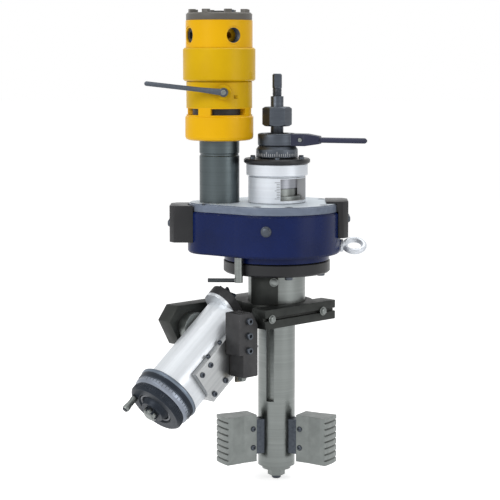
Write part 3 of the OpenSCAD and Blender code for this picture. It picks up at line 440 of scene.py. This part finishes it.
# Blackened and cast dark steel
darkLook = {
    "colour": (0.080, 0.092, 0.110), "shade": (0.058, 0.067, 0.082), "dirtAndShade": (0.035, 0.03, 0.027),
    "bare": (0.38, 0.38, 0.39), "rough": (0.32, 0.52), "metallic": 0.85, "gloss": 0.5, "edge": 0.6 * mm,
    "wear": 0.6, "grimeAndShade": 0.5, "bump": 0.25, "pitch": 2400.0, "lines": "turned"}
blackenedSteel = metalFinish("blackenedSteel", darkLook)
blackenedWheel = metalFinish("blackenedWheel", darkLook | {
    "frame": slideAxis, "metallic": 0.3, "gloss": 0.15,
    "colour": (0.026, 0.033, 0.045), "shade": (0.018, 0.023, 0.032)})
castLook = darkLook | {"lines": "cast", "pitch": 900.0, "bump": 0.5, "rough": (0.42, 0.62)}
castDark = metalFinish("castDark", castLook | {
    "colour": (0.056, 0.056, 0.058), "shade": (0.040, 0.040, 0.042)})
castBlack = metalFinish("castBlack", castLook | {
    "colour": (0.036, 0.039, 0.036), "shade": (0.027, 0.029, 0.028)})
print("finishes ready:", len(bpy.data.materials))

nodeFinish = {
    "mandrel": turnedSteel, "draw_rod": blackenedSteel, "expander": turnedSteel, "draw_nut": blackenedSteel,
    "guide_bush": turnedSteel, "feed_body": silverFeed, "retainer": blackEnamel, "feed_nut": blackenedSteel,
    "feed_dial": blackenedSteel, "ratchet_wheel": turnedSteel, "ratchet_lever": navyGrip, "pawl": turnedSteel,
    "gear_housing": blueEnamel, "top_plate": silverPlate, "plate_screws": blackenedSteel,
    "end_guard_left": blackEnamel, "end_guard_right": blackEnamel, "lifting_eye": silverTurned,
    "trip_post": tripSteel, "lower_bearing": turnedSteel, "upper_bearing": turnedSteel,
    "motor_column": columnSteel, "gear_case": yellowEnamel, "exhaust_ring": yellowEnamel,
    "silencer": blackPlastic, "throttle_collar": mustardEnamel, "motor_barrel": mustardEnamel,
    "port_head": yellowEnamel, "port_plugs": blackPlastic, "motor_cap": capEnamel,
    "throttle_lever": blackenedSteel, "rotor": motorSteel, "drive_shaft": motorSteel,
    "drive_pinion": motorSteel, "drive_bearing": motorSteel, "spindle": turnedSteel,
    "spindle_gear": turnedSteel, "faceplate": blackEnamel, "drive_posts": castBlack, "tool_yoke": castBlack,
    "slide_body": silverSlide, "swivel_trunnion": slideSteel, "star_case": castDark,
    "star_wheel": blackenedWheel, "star_shaft": slideSteel, "end_flange": flangeSteel,
    "lead_screw": slideSteel, "dial_ring": silverDial, "handwheel": blackenedWheel,
    "crank_grip": blackPlastic, "carriage": carriageSteel, "tool_post": castDark,
    "tool_bit": groundSteel, "tool_insert": coatedCarbide,
}
for leg in "123":
    nodeFinish["clamp_leg_" + leg] = blackenedSteel
    nodeFinish["clamp_foot_" + leg] = footSteel
for nodeName, finish in nodeFinish.items():
    for materialSlot in frame["nodes"][nodeName].material_slots:
        materialSlot.material = finish
print("finished CAD nodes:", len(nodeFinish))

mergeReach = 0.01 * mm  # vertices closer than this are one
hexagon = 6


# Modelling helpers: pieces are made at the origin, in millimetres, and then set in place
def clearPick():
    if bpy.context.object and bpy.context.object.mode != "OBJECT":
        bpy.ops.object.mode_set(mode="OBJECT")
    bpy.ops.object.select_all(action="DESELECT")


def pickOnly(piece):
    clearPick()
    piece.select_set(True)
    bpy.context.view_layer.objects.active = piece


def editAll(piece):
    pickOnly(piece)
    bpy.ops.object.mode_set(mode="EDIT")
    bpy.ops.mesh.select_all(action="SELECT")


def applyModifier(piece, kind, **settings):
    pickOnly(piece)
    bpy.ops.object.modifier_add(type=kind)
    change = piece.modifiers[-1]
    for key, value in settings.items():
        setattr(change, key, value)
    bpy.ops.object.modifier_apply(modifier=change.name)


def softenEdges(piece, width, steps=2, angle=40):
    applyModifier(piece, "BEVEL", width=width * mm, segments=steps, limit_method="ANGLE",
                  angle_limit=math.radians(angle), use_clamp_overlap=True)


def smoothFaces(piece, angle=32):
    pickOnly(piece)
    bpy.ops.object.shade_smooth_by_angle(angle=math.radians(angle))


def startCircle(name, place, sides, fill):
    clearPick()
    radius, height = place
    bpy.ops.mesh.primitive_circle_add(vertices=sides, radius=radius * mm, fill_type=fill)
    piece = bpy.context.object
    piece.name = name
    editAll(piece)
    bpy.ops.transform.translate(value=(0, 0, height * mm))
    return piece


def followProfile(profile, extrude):
    radius, height = profile[0]
    for nextRadius, nextHeight in profile[1:]:
        extrude(TRANSFORM_OT_translate={"value": (0, 0, (nextHeight - height) * mm)})
        grow = nextRadius / radius
        bpy.ops.transform.resize(value=(grow, grow, 1), center_override=(0, 0, nextHeight * mm))
        radius, height = nextRadius, nextHeight
    bpy.ops.mesh.select_all(action="SELECT")


# A solid of revolution round Z, from its first disc to its last
def turnPiece(name, profile, sides):
    piece = startCircle(name, profile[0], sides, "NGON")
    followProfile(profile, bpy.ops.mesh.extrude_region_move)
    bpy.ops.mesh.normals_make_consistent(inside=False)
    bpy.ops.object.mode_set(mode="OBJECT")
    return piece


# A ring round Z, whose profile closes on itself
def turnRing(name, profile, sides):
    piece = startCircle(name, profile[0], sides, "NOTHING")
    followProfile(profile + profile[:1], bpy.ops.mesh.extrude_edges_move)
    bpy.ops.mesh.remove_doubles(threshold=mergeReach)
    bpy.ops.mesh.normals_make_consistent(inside=False)
    bpy.ops.object.mode_set(mode="OBJECT")
    return piece


def carve(piece, cutter):
    applyModifier(piece, "BOOLEAN", object=cutter, operation="DIFFERENCE", solver="EXACT")
    bpy.data.objects.remove(cutter)


def carveSocket(piece, reach, top, depth):
    clearPick()
    bpy.ops.mesh.primitive_cylinder_add(vertices=hexagon, radius=reach * mm, depth=2 * depth * mm,
                                        location=(0, 0, top * mm))
    carve(piece, bpy.context.object)


def carveBox(piece, middle, size):
    clearPick()
    bpy.ops.mesh.primitive_cube_add(size=1, location=[value * mm for value in middle])
    cutter = bpy.context.object
    cutter.scale = [value * mm for value in size]
    carve(piece, cutter)


def barPiece(name, size, soft):
    clearPick()
    bpy.ops.mesh.primitive_cube_add(size=1)
    piece = bpy.context.object
    piece.name = name
    editAll(piece)
    bpy.ops.transform.resize(value=[value * mm for value in size])
    bpy.ops.object.mode_set(mode="OBJECT")
    softenEdges(piece, soft, 1)
    return piece


def joinPieces(pieces):
    clearPick()
    for piece in pieces:
        piece.select_set(True)
    bpy.context.view_layer.objects.active = pieces[0]
    if len(pieces) > 1:
        bpy.ops.object.join()
    return pieces[0]


def setCopies(pattern, name, places):
    copies = []
    for place in places:
        pickOnly(pattern)
        bpy.ops.object.duplicate(linked=False)
        copy = bpy.context.object
        copy.matrix_world = place
        bpy.ops.object.transform_apply(location=True, rotation=True, scale=True)
        copies.append(copy)
    piece = joinPieces(copies)
    piece.name = name
    return piece


def dress(piece, finish, body):
    piece.data.materials.clear()
    piece.data.materials.append(finish)
    smoothFaces(piece)
    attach(piece, body)


def drop(pattern):
    bpy.data.objects.remove(pattern)


def setPiece(pattern, name, places, finish, body):
    piece = setCopies(pattern, name, places)
    dress(piece, finish, body)
    drop(pattern)
    return piece


def ringPlaces(ring, base=Matrix()):
    turns = [ring["first"] + 360 / ring["count"] * i for i in range(ring["count"])]
    return [base @ turned(turn) @ spot(ring["reach"], 0, ring["z"]) for turn in turns]


# Fasteners, each modelled once; shares are of the head's radius or height
headShape = {"sides": 24, "sunk": 0.4, "socketDeep": 0.6}
capShape = {"edge": 0.14, "round": 0.3, "socket": 0.56}
buttonShape = {"turns": (0, 25, 45, 62), "foot": 0.2, "top": 0.88, "socket": 0.42}
hexShape = {"edge": 0.12, "top": 0.9, "soft": 0.25, "washerHigh": 1.2, "washerEdge": 0.3, "washerInset": 0.4}
slotShape = {"edge": 0.5, "long": 3, "wide": 0.32, "deep": 0.45}


def capScrew(size):
    radius, height = size["radius"], size["height"]
    edge = capShape["edge"] * radius
    inset = capShape["round"] * edge
    profile = [(radius, -headShape["sunk"]), (radius, height - edge), (radius - inset, height - inset),
               (radius - edge, height)]
    piece = turnPiece("capScrewPattern", profile, headShape["sides"])
    carveSocket(piece, capShape["socket"] * radius, height, headShape["socketDeep"] * height)
    return piece


def buttonScrew(size):
    radius, height, foot = size["radius"], size["height"], buttonShape["foot"]
    profile = [(radius, -headShape["sunk"])]
    for turn in buttonShape["turns"]:
        angle = math.radians(turn)
        profile.append((radius * math.cos(angle), foot + height * math.sin(angle)))
    piece = turnPiece("buttonScrewPattern", profile, headShape["sides"])
    top = foot + buttonShape["top"] * height
    carveSocket(piece, buttonShape["socket"] * radius, top, headShape["socketDeep"] * height)
    return piece


def hexBolt(size):
    radius, height, washer = size["radius"], size["height"], size["washer"]
    profile = [(radius, 0), (radius, height - hexShape["edge"] * radius), (hexShape["top"] * radius, height)]
    piece = turnPiece("hexBoltPattern", profile, hexagon)
    high = hexShape["washerHigh"]
    profile = [(washer, -headShape["sunk"]), (washer, high - hexShape["washerEdge"]),
               (washer - hexShape["washerInset"], high)]
    joinPieces([piece, turnPiece("washerPattern", profile, headShape["sides"])])
    softenEdges(piece, hexShape["soft"], 1)
    return piece


def slotScrew(size):
    radius, height, edge = size["radius"], size["height"], slotShape["edge"]
    profile = [(radius, -headShape["sunk"]), (radius, height - edge), (radius - edge, height)]
    piece = turnPiece("slotScrewPattern", profile, headShape["sides"])
    slot = (slotShape["long"] * radius, slotShape["wide"] * radius, 2 * slotShape["deep"] * height)
    carveBox(piece, (0, 0, height), slot)
    return piece


retainerScrews = {"count": 6, "first": 30, "reach": 35.2, "z": highOf("retainer").z,
                  "radius": 3.1, "height": 2.6}
places = ringPlaces(retainerScrews)
setPiece(capScrew(retainerScrews), "retainerScrews", places, blackenedSteel, "head")

guardScrews = {
    "left": {"x": lowOf("end_guard_left").x, "rows": (-9, 9), "z": 270, "axis": "-X"},
    "right": {"x": highOf("end_guard_right").x, "rows": (-11, 11), "z": 276, "axis": "+X"},
    "radius": 4.6, "height": 2.8}
pattern = buttonScrew(guardScrews)
for side in ("left", "right"):
    guard = guardScrews[side]
    places = [spot(guard["x"], y, guard["z"]) @ faceAlong[guard["axis"]] for y in guard["rows"]]
    dress(setCopies(pattern, side + "GuardScrews", places), blackenedSteel, "head")
drop(pattern)

oilPlug = {"turn": 260.6, "reach": highOf("gear_housing").y, "z": 267,
           "radius": 5.4, "height": 3.6, "washer": 6.6}
places = [turned(oilPlug["turn"]) @ spot(oilPlug["reach"], 0, oilPlug["z"]) @ faceAlong["+X"]]
setPiece(hexBolt(oilPlug), "oilPlug", places, blackenedSteel, "head")

capScrews = {"count": 4, "first": 45, "reach": 21, "z": 531, "radius": 3.8, "height": 3.4}
places = ringPlaces(capScrews, motorFrame)
setPiece(capScrew(capScrews), "motorCapScrews", places, blackenedSteel, "head")

capPlug = {"z": capScrews["z"], "radius": 9, "height": 2.4}
places = [motorFrame @ spot(0, 0, capPlug["z"])]
setPiece(capScrew(capPlug), "motorCapPlug", places, blackPlastic, "head")

throttleScrew = {"y": lowOf("throttle_lever").y, "turn": 25, "radius": 3.2, "height": 1.4}
pivot = jointPlace["throttle_swing"]
places = [spot(pivot.x, throttleScrew["y"], pivot.z) @ faceAlong["-Y"] @ turned(throttleScrew["turn"])]
setPiece(slotScrew(throttleScrew), "throttleScrew", places, turnedSteel, "throttle_lever")

plateBolts = {"turns": (60, 120, 180, 240, 300), "reach": 57, "z": lowOf("faceplate").z,
              "radius": 5, "height": 4}
places = [headFrame @ turned(turn) @ spot(plateBolts["reach"], 0, plateBolts["z"]) @ faceAlong["-Z"]
          for turn in plateBolts["turns"]]
setPiece(capScrew(plateBolts), "faceplateBolts", places, blackenedSteel, "spindle")

yokeBolts = {"arm": ((60, 52, 160), (-30, 52, 160)), "postTurn": 266, "postReach": 48, "postZ": 201,
             "radius": 4.4, "height": 3.2, "washer": 5.6}
places = [headFrame @ spot(*place) @ faceAlong["+Y"] for place in yokeBolts["arm"]]
postPlace = turned(yokeBolts["postTurn"]) @ spot(yokeBolts["postReach"], 0, yokeBolts["postZ"])
places.append(postPlace @ faceAlong["+X"])
setPiece(hexBolt(yokeBolts), "yokeBolts", places, turnedSteel, "spindle")

toolScrews = {"rows": (8, 26, 44), "y": 25, "radius": 4.2, "height": 4.2}
places = [toolFrame @ spot(0, toolScrews["y"], z) @ faceAlong["+Y"] for z in toolScrews["rows"]]
setPiece(capScrew(toolScrews), "toolClampScrews", places, blackenedSteel, "carriage")

carriageScrews = {"spots": ((76, 6), (93, 6), (93, -27), (70, -27)), "y": 37.3, "radius": 3.4, "height": 2.2}
places = [slideFrame @ spot(x, carriageScrews["y"], z) @ faceAlong["+Y"] for x, z in carriageScrews["spots"]]
setPiece(capScrew(carriageScrews), "carriageScrews", places, blackenedSteel, "carriage")

gibScrews = {"rows": (22, 46, 70), "y": 33.3, "z": 13, "radius": 2.7, "height": 3}
places = [slideFrame @ spot(x, gibScrews["y"], gibScrews["z"]) for x in gibScrews["rows"]]
setPiece(capScrew(gibScrews), "gibScrews", places, blackenedSteel, "carriage")

caseScrews = {"spots": ((-13, -8), (13, -8), (-14.5, 13), (14.5, 13)), "x": -15, "radius": 2.4, "height": 1.8}
places = [slideFrame @ spot(caseScrews["x"], y, z) @ faceAlong["-X"] for y, z in caseScrews["spots"]]
setPiece(capScrew(caseScrews), "starCaseScrews", places, turnedSteel, "slide")

footScrews = {"legs": 3, "first": 90, "x": 41, "side": 13, "rows": (-12, 12), "radius": 3.6, "height": 2.2}
pattern = buttonScrew(footScrews)
for leg in range(footScrews["legs"]):
    legFrame = turned(footScrews["first"] + 360 / footScrews["legs"] * leg)
    places = [legFrame @ spot(footScrews["x"], sign * footScrews["side"], z) @ faceAlong[axis]
              for sign, axis in ((1, "+Y"), (-1, "-Y")) for z in footScrews["rows"]]
    number = str(leg + 1)
    dress(setCopies(pattern, "footScrews" + number, places), blackenedSteel, "leg_" + number)
drop(pattern)
print("fasteners set")

# Graduations, raised by a hair so that they catch the light; each mark is a bar stretched to its length
markShape = {"proud": 0.24, "soft": 0.05, "longEvery": 5}


def markLength(marks, i):
    return marks["short"] if i % markShape["longEvery"] else marks["long"]


def dialPlaces(marks, base=Matrix()):
    places = []
    for i in range(marks["count"]):
        tall = markLength(marks, i)
        place = base @ turned(360 / marks["count"] * i) @ spot(marks["reach"], 0, marks["z"] + tall / 2)
        places.append(place @ Matrix.Diagonal((1, 1, tall, 1)))
    return places


feedMarks = {"count": 60, "reach": highOf("feed_dial").x, "z": 354, "long": 6.2, "short": 3.6, "wide": 0.55}
pattern = barPiece("feedMarkPattern", (markShape["proud"], feedMarks["wide"], 1), markShape["soft"])
setPiece(pattern, "feedDialMarks", dialPlaces(feedMarks), markWhite, "feed_nut")

screwMarks = {"count": 50, "reach": 38, "z": 134.9, "long": 4.2, "short": 2.6, "wide": 0.7}
pattern = barPiece("screwMarkPattern", (markShape["proud"], screwMarks["wide"], 1), markShape["soft"])
places = dialPlaces(screwMarks, slideAxis)
setPiece(pattern, "screwDialMarks", places, markBlack, "lead_screw")

depthMarks = {"turn": 275.8, "reach": 36, "z": 303, "step": 2, "count": 11,
              "long": 6.4, "short": 4, "thick": 0.5}
pattern = barPiece("depthMarkPattern", (markShape["proud"], 1, depthMarks["thick"]), markShape["soft"])
places = []
for i in range(depthMarks["count"]):
    wide = markLength(depthMarks, i)
    lean = turned(depthMarks["turn"] - math.degrees(wide / 2 / depthMarks["reach"]))
    place = lean @ spot(depthMarks["reach"], 0, depthMarks["z"] + depthMarks["step"] * i)
    places.append(place @ Matrix.Diagonal((1, wide, 1, 1)))
setPiece(pattern, "depthMarks", places, markBlack, "head")

bevelMarks = {"y": -54, "reach": 20.4, "turns": range(65, 116, 5), "long": 5, "short": 3, "wide": 0.6}
pattern = barPiece("bevelMarkPattern", (1, bevelMarks["wide"], markShape["proud"]), markShape["soft"])
markFace = swivelFrame @ spot(0, bevelMarks["y"], 0) @ faceAlong["-Y"]
places = []
for i, turn in enumerate(bevelMarks["turns"]):
    tall = markLength(bevelMarks, i)
    place = markFace @ turned(turn) @ spot(bevelMarks["reach"] - tall / 2, 0, 0)
    places.append(place @ Matrix.Diagonal((tall, 1, 1, 1)))
setPiece(pattern, "bevelMarks", places, markWhite, "spindle")
print("graduations set")

# Handwheel trim: a ribbed rim, a ring in the face and the nut on the screw; z runs along the screw
wheelStart = 142.4
rimRibs = {"count": 72, "first": 0, "reach": 35.9, "z": wheelStart + 4.6, "high": 6, "wide": 1.7, "deep": 1.4,
           "soft": 0.5}
pattern = barPiece("rimRibPattern", (rimRibs["deep"], rimRibs["wide"], rimRibs["high"]), rimRibs["soft"])
setPiece(pattern, "wheelRim", ringPlaces(rimRibs, slideAxis), blackenedWheel, "lead_screw")

faceRing = {"inner": 19.4, "outer": 22.2, "z": 149.2, "high": 1.6, "soft": 0.5, "sides": 48}
inner, outer, high, soft = (faceRing[key] for key in ("inner", "outer", "high", "soft"))
profile = [(inner, 0), (outer, 0), (outer, high - soft), (outer - soft, high), (inner + soft, high),
           (inner, high - soft)]
ring = turnRing("wheelFaceRing", profile, faceRing["sides"])
places = [slideAxis @ spot(0, 0, faceRing["z"])]
setPiece(ring, "wheelRing", places, ringSteel, "lead_screw")

wheelNut = {"radius": 9.5, "z": 157.4, "high": 6.4, "edge": 1, "inset": 1.2, "soft": 0.5,
            "dome": 6.2, "domeSunk": 0.5, "domeHigh": 1.2, "domeEdge": 0.6, "domeSides": 24}
radius, high, dome = wheelNut["radius"], wheelNut["high"], wheelNut["dome"]
profile = [(radius, 0), (radius, high - wheelNut["edge"]), (radius - wheelNut["inset"], high)]
pattern = turnPiece("wheelNutPattern", profile, hexagon)
softenEdges(pattern, wheelNut["soft"])
top, edge = high + wheelNut["domeHigh"], wheelNut["domeEdge"]
profile = [(dome, high - wheelNut["domeSunk"]), (dome, top - edge), (dome - edge, top)]
joinPieces([pattern, turnPiece("nutDome", profile, wheelNut["domeSides"])])
setPiece(pattern, "wheelNut", [slideAxis @ spot(0, 0, wheelNut["z"])], slideSteel, "lead_screw")

# Slim crank grip, which turns on its pin
crankGrip = {
    "bore": 3.06, "turn": 150, "reach": 29, "lift": 10.4, "sides": 32,
    "profile": [(3.6, 0), (4.2, 0.7), (4.1, 3.5), (3.7, 6), (3.7, 11), (4.4, 16), (4.3, 18.6), (3.6, 19.8)]}
bore, outside = crankGrip["bore"], crankGrip["profile"]
profile = [(bore, 0)] + outside + [(bore, outside[-1][1])]
ring = turnRing("crankGripPattern", profile, crankGrip["sides"])
place = slideAxis @ turned(crankGrip["turn"]) @ spot(0, crankGrip["reach"], wheelStart + crankGrip["lift"])
grip = setPiece(ring, "crankGrip", [place], footSteel, "crank_grip")
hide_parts("crank_grip")

# Blackened sleeve on the end flange that the screw dial is read against
readSleeve = {"inner": 38.2, "outer": 38.9, "z": 127.3, "high": 6.3, "soft": 0.3, "sides": 64}
inner, outer, high, soft = (readSleeve[key] for key in ("inner", "outer", "high", "soft"))
profile = [(inner, 0), (outer, 0), (outer, high - soft), (outer - soft, high), (inner, high)]
ring = turnRing("readSleevePattern", profile, readSleeve["sides"])
places = [slideAxis @ spot(0, 0, readSleeve["z"])]
setPiece(ring, "readSleeve", places, blackenedWheel, "slide")

# Sleeve in the feed body's bore that guards the feed thread behind the window
threadGuard = {"inner": 23.95, "outer": 25.2, "low": 314, "top": 344.6, "soft": 0.5, "sides": 64}
inner, outer, low, top, soft = (threadGuard[key] for key in ("inner", "outer", "low", "top", "soft"))
profile = [(inner, low), (outer - soft, low), (outer, low + soft), (outer, top), (inner, top)]
ring = turnRing("threadGuardPattern", profile, threadGuard["sides"])
setPiece(ring, "threadGuard", [Matrix()], sleeveSteel, "head")


# Threads: a tooth is a few corners of radius and rise, repeated at each pitch
def threadTeeth(thread):
    count = int((thread["end"] - thread["start"]) / thread["pitch"])
    teeth = []
    for i in range(count):
        low = thread["start"] + i * thread["pitch"]
        teeth += [(radius, low + rise) for radius, rise in thread["tooth"]]
    return teeth, thread["start"] + count * thread["pitch"]


inlet = {"turn": 298, "z": 503, "start": 27, "end": 39.8, "pitch": 1.81, "outer": 9.28, "sides": 40,
         "tooth": ((9.18, 0.2), (8.5, 0.8), (8.5, 1.1), (9.18, 1.7))}
teeth, teethEnd = threadTeeth(inlet)
profile = [(inlet["outer"], inlet["start"])] + teeth + [(inlet["outer"], teethEnd)]
ring = turnRing("inletThreadPattern", profile, inlet["sides"])
places = [motorFrame @ turned(inlet["turn"]) @ spot(0, 0, inlet["z"]) @ faceAlong["+X"]]
setPiece(ring, "inletThread", places, blackenedSteel, "head")

rodThread = {"low": lowOf("draw_rod").z, "top": highOf("draw_rod").z, "radius": 5.95, "chamfer": 1.5,
             "lowEnd": 4.4, "topEnd": 4.5, "start": 372, "end": 439, "pitch": 1.75, "sides": 32,
             "tooth": ((5.25, 0.7), (5.25, 0.95), (5.95, 1.6), (5.95, 1.75))}
wrenchFlats = {"half": 4.8, "high": 16, "cutWide": 20, "cutDeep": 8, "spare": 0.02}
low, top, radius, chamfer = (rodThread[key] for key in ("low", "top", "radius", "chamfer"))
teeth = threadTeeth(rodThread)[0]
profile = [(rodThread["lowEnd"], low), (radius, low + chamfer), (radius, rodThread["start"]), *teeth,
           (radius, top - chamfer), (rodThread["topEnd"], top)]
rod = turnPiece("drawRodThread", profile, rodThread["sides"])
for side in (-1, 1):
    middle = (0, side * (wrenchFlats["half"] + wrenchFlats["cutDeep"] / 2), top - wrenchFlats["high"] / 2)
    size = (wrenchFlats["cutWide"], wrenchFlats["cutDeep"], wrenchFlats["high"] + wrenchFlats["spare"])
    carveBox(rod, middle, size)
dress(rod, blackenedSteel, "draw_rod")
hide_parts("draw_rod")
print("threads and handwheel trim set")

# Main solids with broken edges: a merged copy of the node, bevelled
softNodes = {
    "end_guard_left": ("head", 1.6, "black_paint"), "end_guard_right": ("head", 1.6, "black_paint"),
    "tool_yoke": ("spindle", 0.9, "dark_steel"), "tool_post": ("carriage", 1.0, "dark_steel"),
    "carriage": ("carriage", 0.8, "grey_steel"), "ratchet_lever": ("ratchet_lever", 0.7, "navy_grip"),
    "drive_posts": ("spindle", 0.9, "black_paint"), "draw_nut": ("draw_nut", 0.5, "dark_steel"),
    "motor_cap": ("head", 0.6, "black_paint"), "throttle_lever": ("throttle_lever", 0.7, "steel"),
}
softWork = {"flatAngle": 0.6, "steps": 2, "bevelAngle": 35, "smoothAngle": 30}


def mergedCopy(nodeName, pieceName):
    piece = bpy.data.objects.new(pieceName, frame["nodes"][nodeName].data.copy())
    bpy.context.scene.collection.objects.link(piece)
    editAll(piece)
    bpy.ops.mesh.remove_doubles(threshold=mergeReach)
    bpy.ops.object.mode_set(mode="OBJECT")
    if piece.data.has_custom_normals:
        bpy.ops.mesh.customdata_custom_splitnormals_clear()
    return piece


def softCopy(nodeName, body, width):
    piece = mergedCopy(nodeName, nodeName + "Soft")
    editAll(piece)
    bpy.ops.mesh.dissolve_limited(angle_limit=math.radians(softWork["flatAngle"]))
    bpy.ops.object.mode_set(mode="OBJECT")
    softenEdges(piece, width, softWork["steps"], softWork["bevelAngle"])
    smoothFaces(piece, softWork["smoothAngle"])
    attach(piece, body)
    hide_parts(nodeName)
    return piece


softPieces = {}
for nodeName, (body, width, slotName) in softNodes.items():
    softPieces[nodeName] = softCopy(nodeName, body, width)

# The ratchet's round head is blackened, its handle painted
ratchetHead = 24.6 * mm
lever = softPieces["ratchet_lever"]
lever.data.materials.append(blackenedSteel)
for face in lever.data.polygons:
    if face.center.xy.length < ratchetHead:
        face.material_index = len(lever.data.materials) - 1
print("broken edges on:", len(softNodes), "solids")

# Feed thread, cut into a copy of the mandrel; it shows above the nut when the head is fed down
feedThread = {"start": 320, "end": 378, "pitch": 3, "clear": 17, "sides": 64,
              "tooth": ((15.05, 0.3), (13.9, 1.3), (13.9, 1.7), (15.05, 2.7))}
clear, start, end = (feedThread[key] for key in ("clear", "start", "end"))
profile = [(clear, start)] + threadTeeth(feedThread)[0] + [(clear, end)]
cutter = turnRing("feedThreadCutter", profile, feedThread["sides"])
threaded = mergedCopy("mandrel", "mandrelThreaded")
carve(threaded, cutter)
smoothFaces(threaded)
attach(threaded, "mandrel")
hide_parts("mandrel")
print("feed thread cut")

# Studio: floor, background, lamps and camera
studio = {
    "floor": 30.0, "floorColour": 0.80, "floorRough": 0.9, "lift": 0.69, "ambient": 0.40,
    "lamps": {
        "keyLamp": {"place": (-1.25, -1.35, 1.25), "size": 1.0, "power": 20.0},
        "fillLamp": {"place": (1.35, -0.95, 0.55), "size": 0.9, "power": 5.0},
        "topLamp": {"place": (0.1, 0.35, 1.75), "size": 1.2, "power": 12.0},
    },
    "aim": (-0.02, 0.0, 0.24),
}


# Rays that see the pale background: the camera's own, and those off metal or through glass
def shownRays(tree):
    path = addNode(tree, "LightPath").outputs
    rays = calc(tree, "ADD", path["Is Camera Ray"], path["Is Glossy Ray"])
    return calc(tree, "ADD", rays, path["Is Transmission Ray"], True)


def makeFloor():
    clearPick()
    bpy.ops.mesh.primitive_plane_add(size=studio["floor"], location=(0, 0, cadBox[0].z))
    floor = bpy.context.object
    floor.name = "studioFloor"
    grey = opaque([studio["floorColour"]] * 3)
    fixed = {"Base Color": grey, "Roughness": studio["floorRough"], "Specular IOR Level": 0.0}
    material, tree, shader = newFinish("paleFloor", fixed)
    glow = addNode(tree, "Emission", {"Strength": calc(tree, "MULTIPLY", shownRays(tree), studio["lift"])})
    both = addNode(tree, "AddShader", {0: shader.outputs[0], 1: glow.outputs[0]})
    wire(tree, tree.nodes["Material Output"].inputs, {"Surface": both.outputs[0]})
    floor.data.materials.append(material)


def makeWorld():
    world = bpy.data.worlds.new("studioWorld")
    bpy.context.scene.world = world
    world.use_nodes = True
    tree = world.node_tree
    background = tree.nodes["Background"]
    background.inputs["Color"].default_value = (1, 1, 1, 1)
    wire(tree, background.inputs, {"Strength": spread(tree, shownRays(tree), studio["ambient"], 1.0)})


def makeLamps():
    aim = Vector(studio["aim"])
    for name, light in studio["lamps"].items():
        bpy.ops.object.light_add(type="AREA", location=light["place"])
        lamp = bpy.context.object
        lamp.name = name
        lamp.data.size = light["size"]
        lamp.data.energy = light["power"]
        lamp.rotation_euler = (aim - Vector(light["place"])).to_track_quat("-Z", "Y").to_euler()


camera = {"place": (0, -1.981, 0.485), "tilt": 7.19, "yaw": 0.976, "lens": 114.1, "sensor": 36}


def makeCamera():
    turn = (math.radians(90 - camera["tilt"]), 0, math.radians(camera["yaw"]))
    bpy.ops.object.camera_add(location=camera["place"], rotation=turn)
    view = bpy.context.object
    view.name = "photoCamera"
    view.data.sensor_width = camera["sensor"]
    view.data.lens = camera["lens"]
    bpy.context.scene.camera = view


makeFloor()
makeWorld()
makeLamps()
makeCamera()
bpy.context.scene.view_settings.view_transform = "Standard"
print("studio ready")
